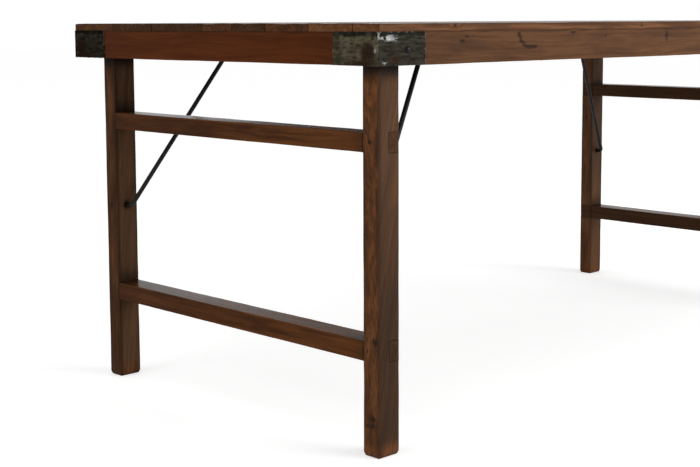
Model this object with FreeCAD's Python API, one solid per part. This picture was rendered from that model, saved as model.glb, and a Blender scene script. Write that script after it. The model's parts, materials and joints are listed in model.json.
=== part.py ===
"""Folding dining table with a plank top on a shallow rail frame.

Two H-shaped leg frames hang from bolts through the long rails and fold flat into the rail frame.
Four iron rods swing from eyes under the top and hook the legs upright.
Millimetres, +Z up, origin on the floor under the middle of the top, +X along the table.
"""

import FreeCAD
import Part

import math
import os

from FreeCAD import Vector

# Overall size of the wood, with the corner plates and bolt heads standing proud of it
TABLE_LENGTH = 1829.0
TABLE_WIDTH = 914.0
TABLE_HEIGHT = 762.0

# Plank top: boards of uneven width run along the table, front board first
TOP_THICKNESS = 15.0
PLANK_WIDTHS = (63.0, 111.0, 117.0, 94.0, 92.0, 161.0, 135.0, 141.0)
NARROWEST_PLANK = 40.0
PLANK_GAP = 0.8
PLANK_EASING = 1.5

# Square cut nails that hold the planks, heads flush with the top
NAIL_SIDE = 5.0
NAIL_LENGTH = 32.0
NAIL_EDGE_DISTANCE = 18.0
EDGE_NAIL_SPACING = 300.0
BATTEN_NAIL_OFFSET = 16.0

# Rail frame under the top
RAIL_HEIGHT = 57.0
LONG_RAIL_THICKNESS = 38.0
END_RAIL_THICKNESS = 41.0
RAIL_EASING = 1.5
TENON_LENGTH = 14.0
TENON_THICKNESS = 20.0
TENON_SHOULDER = 8.0
TENON_END_GAP = 0.5
CENTRE_RAIL_WIDTH = 48.0
CENTRE_RAIL_HEIGHT = 42.0
BATTEN_WIDTH = 60.0
BATTEN_THICKNESS = 22.0
BATTEN_LEG_GAP = 9.0

# Legs, deep along the table and narrower across it
LEG_DEPTH = 51.0
LEG_WIDTH = 38.0
LEG_EASING = 2.0
FOOT_EASING = 1.2
LEG_STOP_GAP = 0.5
FOLDED_TOP_GAP = 4.5

# Stretchers, half-lapped through the inner half of each leg's depth and pegged
UPPER_STRETCHER_DROP = 143.0
UPPER_STRETCHER_HEIGHT = 35.0
LOWER_STRETCHER_RISE = 170.5
LOWER_STRETCHER_HEIGHT = 37.0
STRETCHER_EASING = 1.5
PEG_SIDE = 7.0
PEG_LENGTH = 43.0
PEG_SPREAD = 17.0

# Bolts that the legs turn on
BOLT_DIA = 8.0
BOLT_HEAD_DIA = 13.0
BOLT_HEAD_HEIGHT = 4.5
BOLT_TAIL = 3.0
PIVOT_CLEARANCE = 0.08
RUN_GAP = 0.3
SPACER_DIA = 28.0
SPACER_THICKNESS = 4.7
WASHER_DIA = 22.0
WASHER_THICKNESS = 2.0
NUT_ACROSS_FLATS = 13.0
NUT_HEIGHT = 6.5

# Sheet iron corner plates and their nails
PLATE_THICKNESS = 1.8
PLATE_LONG_SIDE = 112.0
PLATE_END_SIDE = 110.0
PLATE_NAIL_HEAD_DIA = 6.5
PLATE_NAIL_HEAD_HEIGHT = 1.6
PLATE_NAIL_DIA = 3.0
PLATE_NAIL_DEPTH = 10.0
PLATE_NAIL_INSET = 13.0
PLATE_NAIL_MARGIN = 10.0

# Brace rods: hooked end at the leg, pinned end in the eye
ROD_DIA = 9.5
ROD_BEND_RADIUS = 12.0
ROD_LEAN_DEG = 34.56
ROD_TURN_DEG = 18.28
ROD_SIDE_PLAY = 1.0
ROD_TAIL = 3.0
ROD_TIP_EASING = 1.5
HOOK_DROP = 343.5
HOOK_OFFSET = 17.0
HOOK_TIP_GAP = 0.4
SOCKET_DIA = 11.0
SOCKET_DEPTH = 22.0
ROD_WASHER_DIA = 18.0
ROD_WASHER_THICKNESS = 2.0

# Eye bolts screwed up into the battens
EYE_BOSS_DIA = 18.0
EYE_BOSS_THICKNESS = 8.0
EYE_CLEARANCE = 0.08
EYE_COLLAR_DIA = 16.0
EYE_COLLAR_HEIGHT = 2.0
EYE_SHANK_DIA = 8.0
EYE_SHANK_LENGTH = 18.0

X_AXIS = Vector(1, 0, 0)
Y_AXIS = Vector(0, 1, 0)
Z_AXIS = Vector(0, 0, 1)
ORIGIN = Vector(0, 0, 0)

# Heights above the floor
TOP_UNDERSIDE = TABLE_HEIGHT - TOP_THICKNESS
RAIL_BOTTOM = TOP_UNDERSIDE - RAIL_HEIGHT
PIVOT_Z = TOP_UNDERSIDE - FOLDED_TOP_GAP - LEG_DEPTH / 2
UPPER_STRETCHER_Z = PIVOT_Z - UPPER_STRETCHER_DROP - UPPER_STRETCHER_HEIGHT
BATTEN_BOTTOM = TOP_UNDERSIDE - BATTEN_THICKNESS
EYE_Z = BATTEN_BOTTOM - EYE_COLLAR_HEIGHT - EYE_BOSS_DIA / 2

# Places in the front left corner, x from the table's end and y from its side
LEG_OUTER_X = END_RAIL_THICKNESS + LEG_STOP_GAP
LEG_CENTRE_X = LEG_OUTER_X + LEG_DEPTH / 2
LEG_INNER_X = LEG_OUTER_X + LEG_DEPTH
LEG_OUTER_Y = LONG_RAIL_THICKNESS + SPACER_THICKNESS + RUN_GAP
LEG_INNER_Y = LEG_OUTER_Y + LEG_WIDTH

# The rod's line, from the bend at the leg up to the bend at the eye
LEAN = math.radians(ROD_LEAN_DEG)
TURN = math.radians(ROD_TURN_DEG)
ROD_UP = Vector(math.sin(LEAN) * math.cos(TURN), math.sin(LEAN) * math.sin(TURN), math.cos(LEAN))
PIN_DIRECTION = Vector(-math.sin(TURN), math.cos(TURN), 0)
HOOK_POINT = Vector(LEG_CENTRE_X, LEG_INNER_Y + HOOK_OFFSET, PIVOT_Z - HOOK_DROP)
ROD_TOP_POINT = HOOK_POINT + ROD_UP * ((EYE_Z - HOOK_POINT.z) / ROD_UP.z)
EYE_POINT = ROD_TOP_POINT + PIN_DIRECTION * (ROD_BEND_RADIUS + ROD_SIDE_PLAY + EYE_BOSS_THICKNESS / 2)

# Corner name, on the right end, on the rear side
CORNERS = (
    ("front_left", False, False),
    ("front_right", True, False),
    ("rear_left", False, True),
    ("rear_right", True, True),
)
ENDS = (("left", False), ("right", True))


def block(low, high):
    """Box between two corner points."""
    size = Vector(*high) - Vector(*low)
    return Part.makeBox(size.x, size.y, size.z, Vector(*low))


def rod(dia, start, direction, length):
    """Plain cylinder from a start point along a direction."""
    return Part.makeCylinder(dia / 2, length, start, direction)


def dome(dia, height, base, direction):
    """Spherical cap of a nail or bolt head, flat side on the base point."""
    sphere_radius = (height ** 2 + (dia / 2) ** 2) / (2 * height)
    sphere = Part.makeSphere(sphere_radius, base - direction * (sphere_radius - height))
    return sphere.common(Part.makeCylinder(dia, dia, base, direction))


def edges_along(shape, axis):
    """Straight edges of a shape that run along an axis."""
    found = []
    for edge in shape.Edges:
        if isinstance(edge.Curve, Part.Line) and abs(edge.tangentAt(edge.FirstParameter).dot(axis)) > 0.999:
            found.append(edge)
    return found


def eased(shape, axis, radius, keep=lambda edge: True):
    """Round the straight edges along an axis that the keep test picks."""
    return shape.makeFillet(radius, [edge for edge in edges_along(shape, axis) if keep(edge)])


def place(shape, on_right=False, on_rear=False):
    """Move a piece drawn for the front left corner to its own corner of the table."""
    placed = shape.translated(Vector(-TABLE_LENGTH / 2, -TABLE_WIDTH / 2, 0))
    if on_right:
        placed = placed.mirror(ORIGIN, X_AXIS)
    if on_rear:
        placed = placed.mirror(ORIGIN, Y_AXIS)
    return placed


def at_corners(shape):
    """Copies of a front left piece at the four corners."""
    return [place(shape, on_right, on_rear) for _, on_right, on_rear in CORNERS]


def plank_edges():
    """Front and rear edge of each plank across the table, the last one trimmed to the width."""
    edges = []
    front = 0.0
    while TABLE_WIDTH - front > NARROWEST_PLANK:
        rear = front + PLANK_WIDTHS[len(edges) % len(PLANK_WIDTHS)]
        if TABLE_WIDTH - rear < NARROWEST_PLANK:
            rear = TABLE_WIDTH
        edges.append((front, rear))
        front = rear
    return edges


def plank_nail_spots():
    """Places of the plank nails, x from the left end and y from the front side."""
    batten_x = EYE_POINT.x + BATTEN_NAIL_OFFSET
    batten_front = LEG_INNER_Y + BATTEN_LEG_GAP + NAIL_SIDE
    rail_lines = (END_RAIL_THICKNESS / 2, TABLE_LENGTH / 2, TABLE_LENGTH - END_RAIL_THICKNESS / 2)
    spots = []
    for front, rear in plank_edges():
        for y in (front + NAIL_EDGE_DISTANCE, rear - NAIL_EDGE_DISTANCE):
            spots.extend((x, y) for x in rail_lines)
            if batten_front < y < TABLE_WIDTH - batten_front:
                spots.extend((x, y) for x in (batten_x, TABLE_LENGTH - batten_x))
    pairs = round(TABLE_LENGTH / EDGE_NAIL_SPACING / 2)
    for index in range(2 * pairs):
        x = TABLE_LENGTH * (index + 0.5) / (2 * pairs)
        spots.extend((x, y) for y in (LONG_RAIL_THICKNESS / 2, TABLE_WIDTH - LONG_RAIL_THICKNESS / 2))
    return spots


def make_plank_nails():
    """Square nails, heads flush with the top."""
    half = NAIL_SIDE / 2
    nails = []
    for x, y in plank_nail_spots():
        nails.append(block((x - half, y - half, TABLE_HEIGHT - NAIL_LENGTH), (x + half, y + half, TABLE_HEIGHT)))
    return [place(nail) for nail in nails]


def make_plank(front, rear):
    """One board of the top, eased along its upper edges."""
    gap = PLANK_GAP / 2
    low = (0, front + (gap if front > 0 else 0), TOP_UNDERSIDE)
    high = (TABLE_LENGTH, rear - (gap if rear < TABLE_WIDTH else 0), TABLE_HEIGHT)
    plank = eased(block(low, high), X_AXIS, PLANK_EASING, lambda edge: edge.CenterOfMass.z > TOP_UNDERSIDE + 1)
    return place(plank)


def tenon(x_centre, thickness, low_z, high_z, inset, length):
    """Tongue of a cross rail in the front long rail, inset from the rail's inner face."""
    start = LONG_RAIL_THICKNESS - length
    half = thickness / 2
    return block((x_centre - half, start, low_z + inset), (x_centre + half, LONG_RAIL_THICKNESS, high_z - inset))


def end_tenon(length):
    """Tongue on the left end rail, at the front."""
    return tenon(END_RAIL_THICKNESS / 2, TENON_THICKNESS, RAIL_BOTTOM, TOP_UNDERSIDE, TENON_SHOULDER, length)


def centre_tenon(length):
    """Tongue on the centre rail, at the front."""
    low = TOP_UNDERSIDE - CENTRE_RAIL_HEIGHT
    return tenon(TABLE_LENGTH / 2, TENON_THICKNESS, low, TOP_UNDERSIDE, TENON_SHOULDER, length)


def plate_nail_spots():
    """Start point and inward direction of each nail in the front left corner plate."""
    heights = (RAIL_BOTTOM + PLATE_NAIL_MARGIN, TOP_UNDERSIDE - PLATE_NAIL_MARGIN)
    spots = []
    for z in heights:
        for along in (PLATE_NAIL_INSET, PLATE_LONG_SIDE - PLATE_NAIL_INSET):
            spots.append((Vector(along, -PLATE_THICKNESS, z), Y_AXIS))
        for along in (PLATE_NAIL_INSET, PLATE_END_SIDE - PLATE_NAIL_INSET):
            spots.append((Vector(-PLATE_THICKNESS, along, z), X_AXIS))
    return spots


def make_plate_nails():
    """Round-headed nails of one corner plate."""
    nails = []
    for start, inward in plate_nail_spots():
        head = dome(PLATE_NAIL_HEAD_DIA, PLATE_NAIL_HEAD_HEIGHT, start, inward * -1)
        shank = rod(PLATE_NAIL_DIA, start, inward, PLATE_THICKNESS + PLATE_NAIL_DEPTH)
        nails.append(head.fuse(shank).removeSplitter())
    return nails


def plate_nail_holes():
    """Cylinders that clear the plate nails' shanks at the front left corner."""
    return [rod(PLATE_NAIL_DIA, start, inward, PLATE_THICKNESS + PLATE_NAIL_DEPTH)
            for start, inward in plate_nail_spots()]


def pivot_hole():
    """Bore for the front left pivot bolt, through plate, rail and leg."""
    start = Vector(LEG_CENTRE_X, -PLATE_THICKNESS - BOLT_HEAD_HEIGHT, PIVOT_Z)
    return rod(BOLT_DIA + 2 * PIVOT_CLEARANCE, start, Y_AXIS, LEG_INNER_Y * 2)


def make_long_rail():
    """Front rail, the whole length of the table."""
    rail = block((0, 0, RAIL_BOTTOM), (TABLE_LENGTH, LONG_RAIL_THICKNESS, TOP_UNDERSIDE))
    rail = eased(rail, X_AXIS, RAIL_EASING, lambda edge: edge.CenterOfMass.z < RAIL_BOTTOM + 1)
    cuts = [end_tenon(TENON_LENGTH + TENON_END_GAP), pivot_hole()] + plate_nail_holes()
    placed = place(rail)
    for on_right in (False, True):
        placed = placed.cut([place(cut, on_right) for cut in cuts])
    return placed.cut(place(centre_tenon(TENON_LENGTH + TENON_END_GAP)))


def make_end_rail():
    """Left rail, tenoned between the long rails; the legs stop against it."""
    low = (0, LONG_RAIL_THICKNESS, RAIL_BOTTOM)
    high = (END_RAIL_THICKNESS, TABLE_WIDTH - LONG_RAIL_THICKNESS, TOP_UNDERSIDE)
    rail = eased(block(low, high), Y_AXIS, RAIL_EASING, lambda edge: edge.CenterOfMass.z < RAIL_BOTTOM + 1)
    rail = place(rail)
    for on_rear in (False, True):
        rail = rail.fuse(place(end_tenon(TENON_LENGTH), False, on_rear))
        rail = rail.cut([place(hole, False, on_rear) for hole in plate_nail_holes()])
    return rail


def make_centre_rail():
    """Cross rail under the middle of the top, between the folded leg frames."""
    half = CENTRE_RAIL_WIDTH / 2
    low = (TABLE_LENGTH / 2 - half, LONG_RAIL_THICKNESS, TOP_UNDERSIDE - CENTRE_RAIL_HEIGHT)
    high = (TABLE_LENGTH / 2 + half, TABLE_WIDTH - LONG_RAIL_THICKNESS, TOP_UNDERSIDE)
    bottom = low[2]
    rail = eased(block(low, high), Y_AXIS, RAIL_EASING, lambda edge: edge.CenterOfMass.z < bottom + 1)
    rail = place(rail)
    for on_rear in (False, True):
        rail = rail.fuse(place(centre_tenon(TENON_LENGTH), False, on_rear))
    return rail


def make_batten():
    """Left cross batten that ties the planks and carries two eye bolts, clear of the folded legs."""
    half = BATTEN_WIDTH / 2
    start = LEG_INNER_Y + BATTEN_LEG_GAP
    low = (EYE_POINT.x - half, start, BATTEN_BOTTOM)
    high = (EYE_POINT.x + half, TABLE_WIDTH - start, TOP_UNDERSIDE)
    batten = eased(block(low, high), Y_AXIS, RAIL_EASING, lambda edge: edge.CenterOfMass.z < BATTEN_BOTTOM + 1)
    foot = Vector(EYE_POINT.x, EYE_POINT.y, BATTEN_BOTTOM)
    shank_hole = rod(EYE_SHANK_DIA, foot, Z_AXIS, EYE_SHANK_LENGTH)
    return place(batten).cut([place(shank_hole, False, on_rear) for on_rear in (False, True)])


def stretcher_heights():
    """Name, underside and height of the two stretchers of a leg frame."""
    return (
        ("upper", UPPER_STRETCHER_Z, UPPER_STRETCHER_HEIGHT),
        ("lower", LOWER_STRETCHER_RISE, LOWER_STRETCHER_HEIGHT),
    )


def lap_tongue(bottom, height):
    """Stretcher tongue through the inner half of the front left leg's depth."""
    return block((LEG_CENTRE_X, LEG_OUTER_Y, bottom), (LEG_INNER_X, LEG_INNER_Y, bottom + height))


def make_lap_pegs(bottom, height):
    """Two square pegs of one lap, driven from the leg's inner side."""
    half = PEG_SIDE / 2
    y = (LEG_OUTER_Y + LEG_INNER_Y) / 2
    middle = bottom + height / 2
    pegs = []
    for z in (middle - PEG_SPREAD / 2, middle + PEG_SPREAD / 2):
        pegs.append(block((LEG_INNER_X - PEG_LENGTH, y - half, z - half), (LEG_INNER_X, y + half, z + half)))
    return pegs


def make_leg():
    """Front left leg: rounded head about the pivot, laps for the stretchers, socket for the rod's hook."""
    low_outer = Vector(LEG_OUTER_X, LEG_OUTER_Y, 0)
    low_inner = Vector(LEG_INNER_X, LEG_OUTER_Y, 0)
    high_inner = Vector(LEG_INNER_X, LEG_OUTER_Y, PIVOT_Z)
    crown = Vector(LEG_CENTRE_X, LEG_OUTER_Y, PIVOT_Z + LEG_DEPTH / 2)
    high_outer = Vector(LEG_OUTER_X, LEG_OUTER_Y, PIVOT_Z)
    outline = Part.Wire([
        Part.makeLine(low_outer, low_inner),
        Part.makeLine(low_inner, high_inner),
        Part.Arc(high_inner, crown, high_outer).toShape(),
        Part.makeLine(high_outer, low_outer),
    ])
    leg = Part.Face(outline).extrude(Y_AXIS * LEG_WIDTH)
    leg = eased(leg, Z_AXIS, LEG_EASING)
    leg = leg.makeChamfer(FOOT_EASING, [edge for edge in leg.Edges if edge.BoundBox.ZMax < 0.01])
    hook_y = LEG_INNER_Y - SOCKET_DEPTH
    socket = rod(SOCKET_DIA, Vector(HOOK_POINT.x, hook_y, HOOK_POINT.z), Y_AXIS, SOCKET_DEPTH + LEG_WIDTH)
    cuts = [pivot_hole(), socket]
    for _, bottom, height in stretcher_heights():
        cuts.append(lap_tongue(bottom, height))
        cuts.extend(make_lap_pegs(bottom, height))
    return leg.cut(cuts)


def make_stretcher(bottom, height):
    """Left stretcher, full depth between the legs and half depth through them."""
    low = (LEG_OUTER_X, LEG_INNER_Y, bottom)
    high = (LEG_INNER_X, TABLE_WIDTH - LEG_INNER_Y, bottom + height)
    bar = place(eased(block(low, high), Y_AXIS, STRETCHER_EASING))
    for on_rear in (False, True):
        bar = bar.fuse(place(lap_tongue(bottom, height), False, on_rear))
        bar = bar.cut([place(peg, False, on_rear) for peg in make_lap_pegs(bottom, height)])
    return bar


def make_corner_plate():
    """Sheet iron angle over the front left corner of the rails."""
    outer = block((-PLATE_THICKNESS, -PLATE_THICKNESS, RAIL_BOTTOM), (PLATE_LONG_SIDE, PLATE_END_SIDE, TOP_UNDERSIDE))
    inner = block((0, 0, RAIL_BOTTOM), (PLATE_LONG_SIDE, PLATE_END_SIDE, TOP_UNDERSIDE))
    plate = outer.cut(inner)
    plate = eased(plate, Z_AXIS, PLATE_THICKNESS, lambda edge: edge.BoundBox.XMax < 0 and edge.BoundBox.YMax < 0)
    return plate.cut([pivot_hole()] + plate_nail_holes())


def make_pivot_bolt():
    """Dome-headed bolt through plate, rail, spacer and leg."""
    seat = Vector(LEG_CENTRE_X, -PLATE_THICKNESS, PIVOT_Z)
    length = PLATE_THICKNESS + LEG_INNER_Y + RUN_GAP + WASHER_THICKNESS + NUT_HEIGHT + BOLT_TAIL
    head = dome(BOLT_HEAD_DIA, BOLT_HEAD_HEIGHT, seat, Y_AXIS * -1)
    return head.fuse(rod(BOLT_DIA, seat, Y_AXIS, length)).removeSplitter()


def ring(outer_dia, bore_dia, start, direction, length):
    """Washer or spacer with a plain bore."""
    return rod(outer_dia, start, direction, length).cut(rod(bore_dia, start, direction, length))


def make_pivot_spacer():
    """Iron spacer between the long rail and the leg."""
    start = Vector(LEG_CENTRE_X, LONG_RAIL_THICKNESS, PIVOT_Z)
    return ring(SPACER_DIA, BOLT_DIA + 2 * PIVOT_CLEARANCE, start, Y_AXIS, SPACER_THICKNESS)


def make_pivot_washer():
    """Washer under the nut, a running gap off the leg."""
    start = Vector(LEG_CENTRE_X, LEG_INNER_Y + RUN_GAP, PIVOT_Z)
    return ring(WASHER_DIA, BOLT_DIA + 2 * PIVOT_CLEARANCE, start, Y_AXIS, WASHER_THICKNESS)


def make_pivot_nut():
    """Hexagon nut on the bolt's tail."""
    start = Vector(LEG_CENTRE_X, LEG_INNER_Y + RUN_GAP + WASHER_THICKNESS, PIVOT_Z)
    corner_radius = NUT_ACROSS_FLATS / math.sqrt(3)
    corners = []
    for index in range(7):
        angle = math.radians(60 * index)
        corners.append(start + Vector(corner_radius * math.cos(angle), 0, corner_radius * math.sin(angle)))
    nut = Part.Face(Part.makePolygon(corners)).extrude(Y_AXIS * NUT_HEIGHT)
    return nut.cut(rod(BOLT_DIA, start, Y_AXIS, NUT_HEIGHT))


def bent_bar(points, bend_radius, dia):
    """Round bar along straight runs that are joined by tangent arcs."""
    edges = []
    start = points[0]
    for before, corner, after in zip(points, points[1:], points[2:]):
        incoming = (corner - before).normalize()
        outgoing = (after - corner).normalize()
        turn = incoming.getAngle(outgoing)
        reach = bend_radius * math.tan(turn / 2)
        first = corner - incoming * reach
        last = corner + outgoing * reach
        inward = (outgoing - incoming).normalize()
        middle = corner + inward * (bend_radius / math.cos(turn / 2) - bend_radius)
        edges.append(Part.makeLine(start, first))
        edges.append(Part.Arc(first, middle, last).toShape())
        start = last
    edges.append(Part.makeLine(start, points[-1]))
    section = Part.Wire(Part.makeCircle(dia / 2, points[0], points[1] - points[0]))
    return Part.Wire(edges).makePipeShell([section], True, False)


def rod_pin_length():
    """Length of the rod's pinned end, from the upper bend's corner to its tip."""
    past_eye = EYE_BOSS_THICKNESS / 2 + RUN_GAP + ROD_WASHER_THICKNESS + ROD_TAIL
    return (EYE_POINT - ROD_TOP_POINT).Length + past_eye


def make_brace_rod():
    """Iron rod: hook towards the leg's socket, long slanting run, pin through the eye."""
    tip = Vector(HOOK_POINT.x, LEG_INNER_Y + HOOK_TIP_GAP, HOOK_POINT.z)
    pin_end = ROD_TOP_POINT + PIN_DIRECTION * rod_pin_length()
    bar = bent_bar([tip, HOOK_POINT, ROD_TOP_POINT, pin_end], ROD_BEND_RADIUS, ROD_DIA)
    rims = [edge for edge in bar.Edges if min((edge.CenterOfMass - end).Length for end in (tip, pin_end)) < 0.01]
    return bar.makeChamfer(ROD_TIP_EASING, rims)


def make_rod_washer():
    """Washer that keeps the rod's pin in the eye."""
    start = EYE_POINT + PIN_DIRECTION * (EYE_BOSS_THICKNESS / 2 + RUN_GAP)
    return ring(ROD_WASHER_DIA, ROD_DIA, start, PIN_DIRECTION, ROD_WASHER_THICKNESS)


def make_eye_bolt():
    """Eye bolt in the batten, its eye square to the rod."""
    boss = rod(EYE_BOSS_DIA, EYE_POINT - PIN_DIRECTION * (EYE_BOSS_THICKNESS / 2), PIN_DIRECTION, EYE_BOSS_THICKNESS)
    seat = Vector(EYE_POINT.x, EYE_POINT.y, BATTEN_BOTTOM)
    collar = rod(EYE_COLLAR_DIA, seat, Z_AXIS * -1, EYE_COLLAR_HEIGHT)
    shank = rod(EYE_SHANK_DIA, EYE_POINT, Z_AXIS, seat.z - EYE_POINT.z + EYE_SHANK_LENGTH)
    bore_start = EYE_POINT - PIN_DIRECTION * EYE_BOSS_THICKNESS
    bore = rod(ROD_DIA + 2 * EYE_CLEARANCE, bore_start, PIN_DIRECTION, EYE_BOSS_THICKNESS * 2)
    return boss.fuse([collar, shank]).cut(bore)


def build_top(nails):
    """Planks, rails, battens and their nails, with a hole for every nail."""
    nodes = {}
    for index, (front, rear) in enumerate(plank_edges(), start=1):
        nodes[f"top_plank_{index}"] = make_plank(front, rear)
    front_rail = make_long_rail()
    nodes["front_rail"] = front_rail
    nodes["rear_rail"] = front_rail.mirror(ORIGIN, Y_AXIS)
    end_rail = make_end_rail()
    batten = make_batten()
    for end, on_right in ENDS:
        nodes[f"{end}_end_rail"] = end_rail.mirror(ORIGIN, X_AXIS) if on_right else end_rail
        nodes[f"{end}_eye_batten"] = batten.mirror(ORIGIN, X_AXIS) if on_right else batten
    nodes["centre_rail"] = make_centre_rail()
    for name, shape in nodes.items():
        touching = [nail for nail in nails if nail.BoundBox.intersect(shape.BoundBox)]
        nodes[name] = shape.cut(touching)
    nodes["plank_nails"] = Part.makeCompound(nails)
    return nodes


def build_leg_frames():
    """Two legs, two stretchers and the lap pegs of each folding frame."""
    nodes = {}
    leg = make_leg()
    for corner, on_right, on_rear in CORNERS:
        nodes[f"{corner}_leg"] = place(leg, on_right, on_rear)
    for end, on_right in ENDS:
        pegs = []
        for level, bottom, height in stretcher_heights():
            bar = make_stretcher(bottom, height)
            nodes[f"{end}_{level}_stretcher"] = bar.mirror(ORIGIN, X_AXIS) if on_right else bar
            for on_rear in (False, True):
                pegs.extend(place(peg, on_right, on_rear) for peg in make_lap_pegs(bottom, height))
        nodes[f"{end}_lap_pegs"] = Part.makeCompound(pegs)
    return nodes


def build_ironwork():
    """Corner plates, pivot bolts and brace rods with their small parts."""
    nodes = {}
    single_pieces = {
        "corner_plate": make_corner_plate(),
        "pivot_bolt": make_pivot_bolt(),
        "brace_rod": make_brace_rod(),
        "rod_washer": make_rod_washer(),
        "eye_bolt": make_eye_bolt(),
    }
    for name, shape in single_pieces.items():
        for corner, on_right, on_rear in CORNERS:
            nodes[f"{corner}_{name}"] = place(shape, on_right, on_rear)
    grouped_pieces = {
        "corner_plate_nails": make_plate_nails(),
        "pivot_spacers": [make_pivot_spacer()],
        "pivot_washers": [make_pivot_washer()],
        "pivot_nuts": [make_pivot_nut()],
    }
    for name, shapes in grouped_pieces.items():
        nodes[name] = Part.makeCompound([copy for shape in shapes for copy in at_corners(shape)])
    return nodes


def main():
    """Build every piece and write one file per node."""
    os.makedirs("parts", exist_ok=True)
    nodes = build_top(make_plank_nails())
    nodes.update(build_leg_frames())
    nodes.update(build_ironwork())
    for name, shape in nodes.items():
        print(f"{name}: {len(shape.Solids)} solids, {shape.Volume / 1000:.1f} cm3, valid {shape.isValid()}")
        shape.exportStep(os.path.join("parts", f"{name}.step"))


main()
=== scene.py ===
"""Looks of a folding dining table of old waxed teak, with iron corner plates and brace rods.

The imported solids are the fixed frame. Worn boards and hammered plates stand in for the plain solids, and the
round ironwork keeps its solids and takes a finish. Sizes inside the classes are millimetres, as on a drawing.
"""

import json
import logging
import math
from dataclasses import dataclass
from enum import Enum
from typing import ClassVar

import bpy
import numpy as np
from mathutils import Matrix, Vector, noise

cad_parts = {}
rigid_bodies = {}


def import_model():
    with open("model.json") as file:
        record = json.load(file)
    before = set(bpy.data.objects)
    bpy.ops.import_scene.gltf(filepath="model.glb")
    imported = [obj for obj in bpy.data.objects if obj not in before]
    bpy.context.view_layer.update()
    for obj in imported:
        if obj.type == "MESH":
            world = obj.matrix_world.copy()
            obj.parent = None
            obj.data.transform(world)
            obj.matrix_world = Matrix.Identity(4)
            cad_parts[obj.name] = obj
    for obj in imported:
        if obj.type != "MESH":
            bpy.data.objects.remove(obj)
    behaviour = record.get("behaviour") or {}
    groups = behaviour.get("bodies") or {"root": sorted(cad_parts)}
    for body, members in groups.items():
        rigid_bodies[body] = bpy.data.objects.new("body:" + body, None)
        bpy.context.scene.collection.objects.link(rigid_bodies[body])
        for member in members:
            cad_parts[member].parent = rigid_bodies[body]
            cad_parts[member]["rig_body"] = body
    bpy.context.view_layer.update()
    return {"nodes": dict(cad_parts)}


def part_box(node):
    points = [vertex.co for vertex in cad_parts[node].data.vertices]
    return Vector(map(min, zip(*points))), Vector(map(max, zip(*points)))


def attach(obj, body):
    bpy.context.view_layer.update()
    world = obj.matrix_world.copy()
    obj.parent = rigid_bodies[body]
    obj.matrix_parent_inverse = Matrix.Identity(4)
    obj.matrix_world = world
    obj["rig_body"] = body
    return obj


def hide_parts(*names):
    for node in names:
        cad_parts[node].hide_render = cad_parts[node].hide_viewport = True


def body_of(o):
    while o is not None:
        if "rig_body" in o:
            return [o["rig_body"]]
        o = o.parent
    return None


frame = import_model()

Triple = tuple[float, float, float]
Tree = bpy.types.NodeTree
Socket = bpy.types.NodeSocket

LOG = logging.getLogger("folding_table")
MM = 0.001
PER_METRE = 1000.0
TINY = 1e-6
TABLE_HALF_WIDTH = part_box("rear_rail")[1].y * PER_METRE

# A face looks along an axis if its outward direction has more than this share of it
FACING = 0.8
HALF_FACING = 0.5

# Socket numbers of a colour mix node
MIX_SHARE, MIX_UNDER, MIX_OVER, MIX_RESULT = 0, 6, 7, 2

# Each seed moves the lumps by its own odd step along x, y and z, from an odd start
LUMP_STEPS = ((17.31, 0.37), (5.77, 0.71), (11.13, 0.13))

# A distance at which no dirt or wear is left
FAR = 99.0

# Places of the ruled lines at an arris, in widths of the arris
ARRIS_LINES = (0.0, 0.3, 0.65, 1.0, 1.8, 3.0)


class Layer(Enum):
    """Values per point that the meshes carry and the finishes read."""

    WORN = "worn"
    # Dirt, and painted shade under the rails and the table top
    GRIME = "grime"
    # Bare metal, and painted highlights on the plates
    BRIGHT = "bright"
    RUST = "rust"
    # Dry wax and a dusting, and painted sheen on faces turned to the sides
    DUST = "dust"
    PATINA = "patina"
    POLISH = "polish"


class Tone(Enum):
    """The tones that the wood has taken, by piece or by colour."""

    WARM = "warm"
    BROWN = "brown"
    DARK = "dark"
    LONG_RAIL = "long rail"
    END_RAIL = "end rail"
    LEG = "leg"
    FAR_LEG = "far leg"
    STRETCHER = "stretcher"
    PEG = "peg"


class Grain(Enum):
    """The way a board's fibres run, as an axis of the table's frame."""

    ALONG_TABLE = 0
    ACROSS_TABLE = 1
    UPRIGHT = 2

    def scale(self, along: float, across: float) -> Triple:
        """One value along the fibres and another across them."""
        return tuple(along if axis == self.value else across for axis in range(3))


class Place(Enum):
    """A part of the table that the solids are named for."""

    @property
    def label(self) -> str:
        """Name as the solids use it."""
        return self.name.lower()


class Corner(Place):
    """The four corners of the table, as the signs of x and y."""

    FRONT_LEFT = (-1, -1)
    FRONT_RIGHT = (1, -1)
    REAR_LEFT = (-1, 1)
    REAR_RIGHT = (1, 1)

    @property
    def end_sign(self) -> int:
        """Sign of x at the corner."""
        return self.value[0]

    @property
    def side_sign(self) -> int:
        """Sign of y at the corner."""
        return self.value[1]


class End(Place):
    """The two ends of the table, as the sign of x."""

    LEFT = -1
    RIGHT = 1


def linear(code: str) -> tuple[float, float, float, float]:
    """Turn an sRGB hex colour into linear light.

    Args:
        code: Colour as "#rrggbb".

    Returns:
        Red, green, blue and an alpha of 1.
    """
    channels = [int(code[start:start + 2], 16) / 255 for start in (1, 3, 5)]
    return tuple(c / 12.92 if c <= 0.04045 else ((c + 0.055) / 1.055) ** 2.4 for c in channels) + (1.0,)


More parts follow.
